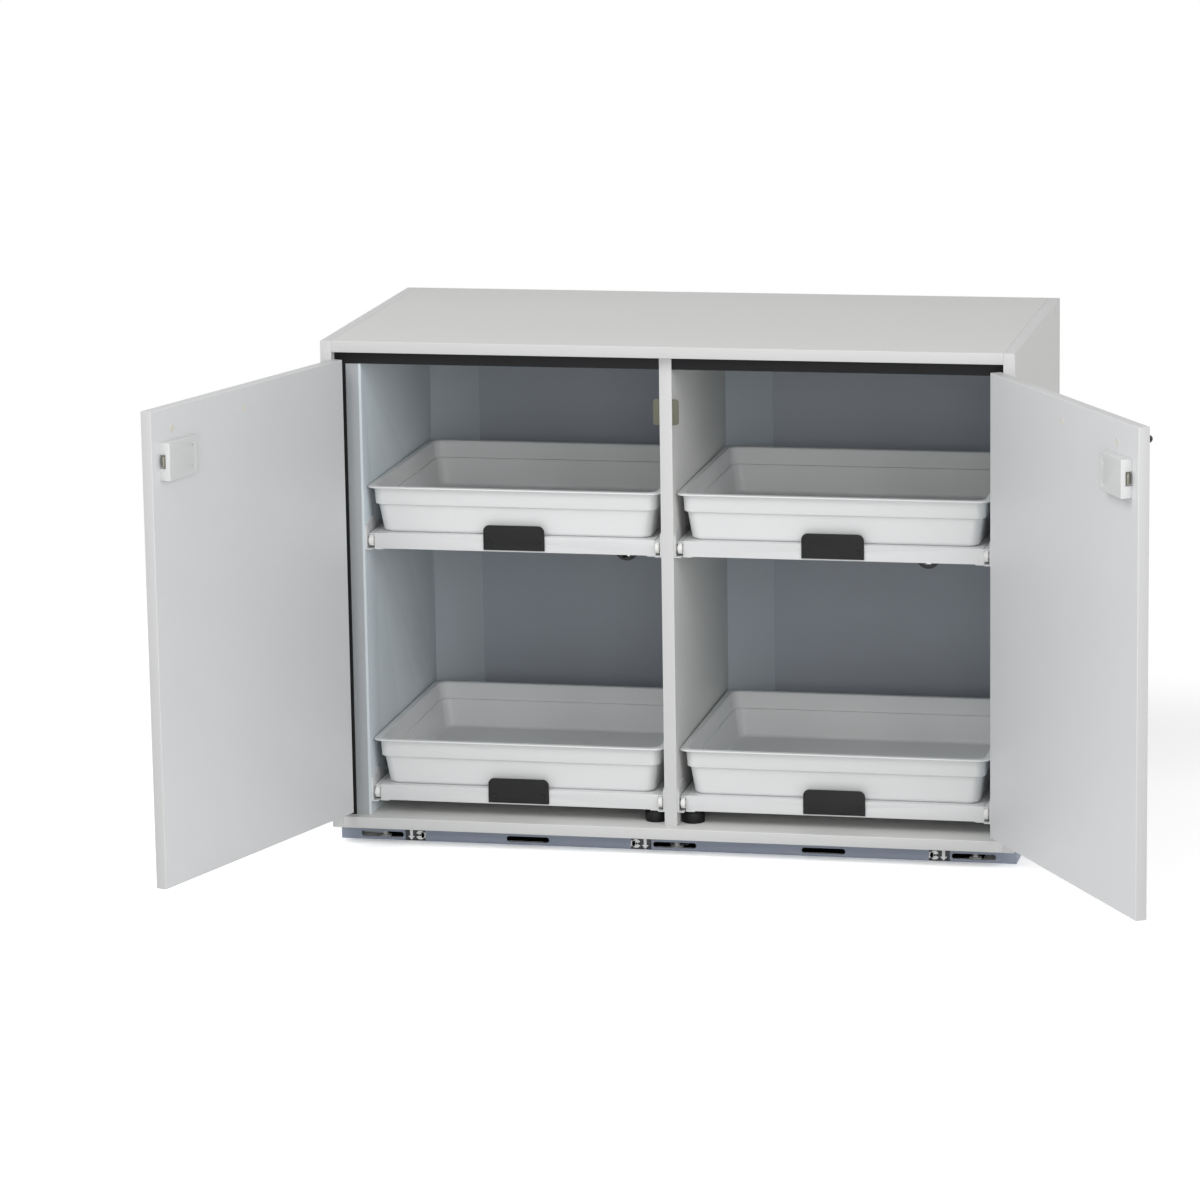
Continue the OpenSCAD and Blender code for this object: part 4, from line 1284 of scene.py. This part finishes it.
def seen_rays(tree):
    """One for the rays that the camera sees straight, in a reflection or through something."""
    path = tree.nodes.new("ShaderNodeLightPath").outputs
    seen = path["Is Camera Ray"]
    for kind in ("Is Glossy Ray", "Is Transmission Ray"):
        seen = maths(tree, "MAXIMUM", seen, path[kind])
    return seen


def level_sheet(name, left, right, front, rear, height):
    """A level rectangle with a matt material, and the material's tree and shader."""
    work = bmesh.new()
    corners = ((left, front), (right, front), (right, rear), (left, rear))
    work.faces.new([work.verts.new((x, y, height)) for x, y in corners])
    sheet = bpy.data.objects.new(name, to_mesh(work, name))
    bpy.context.scene.collection.objects.link(sheet)
    material = bpy.data.materials.new(name)
    material.use_nodes = True
    sheet.data.materials.append(material)
    shader = material.node_tree.nodes["Principled BSDF"]
    shader.inputs["Roughness"].default_value = FLOOR_ROUGHNESS
    shader.inputs["Specular IOR Level"].default_value = 0.0
    return sheet, material.node_tree, shader


class CABINET_OT_stage(Operator):
    """Set up the floor, the soft light and the camera"""

    bl_idname = "scene.cabinet_stage"
    bl_label = "Stage"

    def execute(self, context):
        stage = context.scene.cabinet_stage
        context.scene.view_settings.view_transform = "Standard"
        self.make_camera(context)
        self.make_floor(stage)
        self.make_painted_shade_floor(stage)
        self.make_world(context, stage)
        for name, (place, target, width) in LAMPS.items():
            self.make_lamp(context, f"{name}_lamp", place, target, width, getattr(stage, f"{name}_power"))
        return {"FINISHED"}

    def make_camera(self, context):
        camera = bpy.data.objects.new("camera", bpy.data.cameras.new("camera"))
        context.scene.collection.objects.link(camera)
        camera.data.lens, camera.data.sensor_width = CAMERA_LENS, CAMERA_SENSOR
        camera.data.clip_start, camera.data.clip_end = CAMERA_NEAR, CAMERA_FAR
        right = Vector((*on_circle(1, CAMERA_YAW), 0))
        level = Vector((-right.y, right.x, 0))
        ahead = level * math.cos(CAMERA_PITCH) - Vector((0, 0, math.sin(CAMERA_PITCH)))
        up = right.cross(ahead)
        lean = right * math.cos(CAMERA_ROLL) + up * math.sin(CAMERA_ROLL)
        rise = up * math.cos(CAMERA_ROLL) - right * math.sin(CAMERA_ROLL)
        turn = Matrix((lean, rise, -ahead)).transposed().to_4x4()
        camera.matrix_world = Matrix.Translation(CAMERA_PLACE) @ turn
        context.scene.camera = camera

    def make_floor(self, stage):
        """A pale floor that takes the shadow and fades to the white backdrop for the camera."""
        floor, tree, shader = level_sheet(
            "floor", -FLOOR_HALF, FLOOR_HALF, -FLOOR_HALF, FLOOR_HALF, 0
        )
        seen = seen_rays(tree)
        white = stage.floor_seen
        pale = add_node(
            tree, "ShaderNodeMix",
            {"Factor": seen, "A": (*stage.floor_colour, 1), "B": (white, white, white, 1)},
            data_type="RGBA",
        )
        tree.links.new(pale.outputs["Result"], shader.inputs["Base Color"])
        place = add_node(tree, "ShaderNodeTexCoord").outputs["Object"]
        away = add_node(tree, "ShaderNodeVectorMath", {0: place}, operation="LENGTH").outputs["Value"]
        fade = add_node(
            tree, "ShaderNodeMapRange",
            {"Value": away, "From Min": stage.floor_reach / 2, "From Max": stage.floor_reach},
            interpolation_type="SMOOTHSTEP",
        )
        share = maths(tree, "MULTIPLY", fade.outputs["Result"], seen)
        clear = add_node(tree, "ShaderNodeBsdfTransparent")
        both = add_node(
            tree, "ShaderNodeMixShader", {0: share, 1: shader.outputs[0], 2: clear.outputs[0]}
        )
        tree.links.new(both.outputs[0], tree.nodes["Material Output"].inputs["Surface"])

    def make_painted_shade_floor(self, stage):
        """Painted shade below the carcass: a dark sheet on the floor, for the dark behind the plinth."""
        low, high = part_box("bottom_panel")
        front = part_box("plinth_front_rail")[0].y + PAINTED_SHADE_FRONT
        floor, _, shader = level_sheet(
            "dark_floor", low.x + PAINTED_SHADE_INSET, high.x - PAINTED_SHADE_INSET, front, high.y - PAINTED_SHADE_INSET, PAINTED_SHADE_LIFT
        )
        shader.inputs["Base Color"].default_value = (*stage.painted_shade_colour, 1)

    def make_world(self, context, stage):
        world = bpy.data.worlds.new("studio")
        context.scene.world = world
        world.use_nodes = True
        tree = world.node_tree
        background = tree.nodes["Background"]
        background.inputs["Color"].default_value = (1, 1, 1, 1)
        level = add_node(
            tree, "ShaderNodeMapRange",
            {"Value": seen_rays(tree), "To Min": stage.world_level, "To Max": 1.0},
        )
        tree.links.new(level.outputs["Result"], background.inputs["Strength"])

    def make_lamp(self, context, name, place, target, width, power):
        data = bpy.data.lights.new(name, "AREA")
        data.shape, data.size, data.energy = "SQUARE", width, power
        lamp = bpy.data.objects.new(name, data)
        context.scene.collection.objects.link(lamp)
        aim = (Vector(target) - Vector(place)).to_track_quat("-Z", "Y").to_matrix().to_4x4()
        lamp.matrix_world = Matrix.Translation(place) @ aim


# ---------------------------------------------------------------- the add-on


STEPS = (
    CABINET_OT_stage, CABINET_OT_boards, CABINET_OT_lining, CABINET_OT_plinth, CABINET_OT_doors,
    CABINET_OT_hinges, CABINET_OT_handles, CABINET_OT_latches, CABINET_OT_runners, CABINET_OT_shelves,
    CABINET_OT_trays, CABINET_OT_fasteners,
)
SETTINGS = {
    "cabinet_colours": CabinetColours,
    "cabinet_details": CabinetDetails,
    "cabinet_stage": CabinetStage,
}


class CABINET_PT_steps(Panel):
    """Lists the steps that make the cabinet, with its sizes and colours"""

    bl_idname = "CABINET_PT_steps"
    bl_label = "Reagent cabinet"
    bl_space_type = "VIEW_3D"
    bl_region_type = "UI"
    bl_category = "Cabinet"

    def draw(self, context):
        for step in STEPS:
            self.layout.operator(step.bl_idname)
        for name, group in SETTINGS.items():
            box = self.layout.box()
            for key in group.__annotations__:
                box.prop(getattr(context.scene, name), key)


def register():
    for group in (*SETTINGS.values(), *STEPS, CABINET_PT_steps):
        bpy.utils.register_class(group)
    for name, group in SETTINGS.items():
        setattr(bpy.types.Scene, name, PointerProperty(type=group))


def unregister():
    for name in SETTINGS:
        delattr(bpy.types.Scene, name)
    for group in reversed((*SETTINGS.values(), *STEPS, CABINET_PT_steps)):
        bpy.utils.unregister_class(group)


def main():
    """Makes the whole cabinet."""
    register()
    for step in STEPS:
        group, name = step.bl_idname.split(".")
        getattr(getattr(bpy.ops, group), name)()


if __name__ == "__main__":
    main()
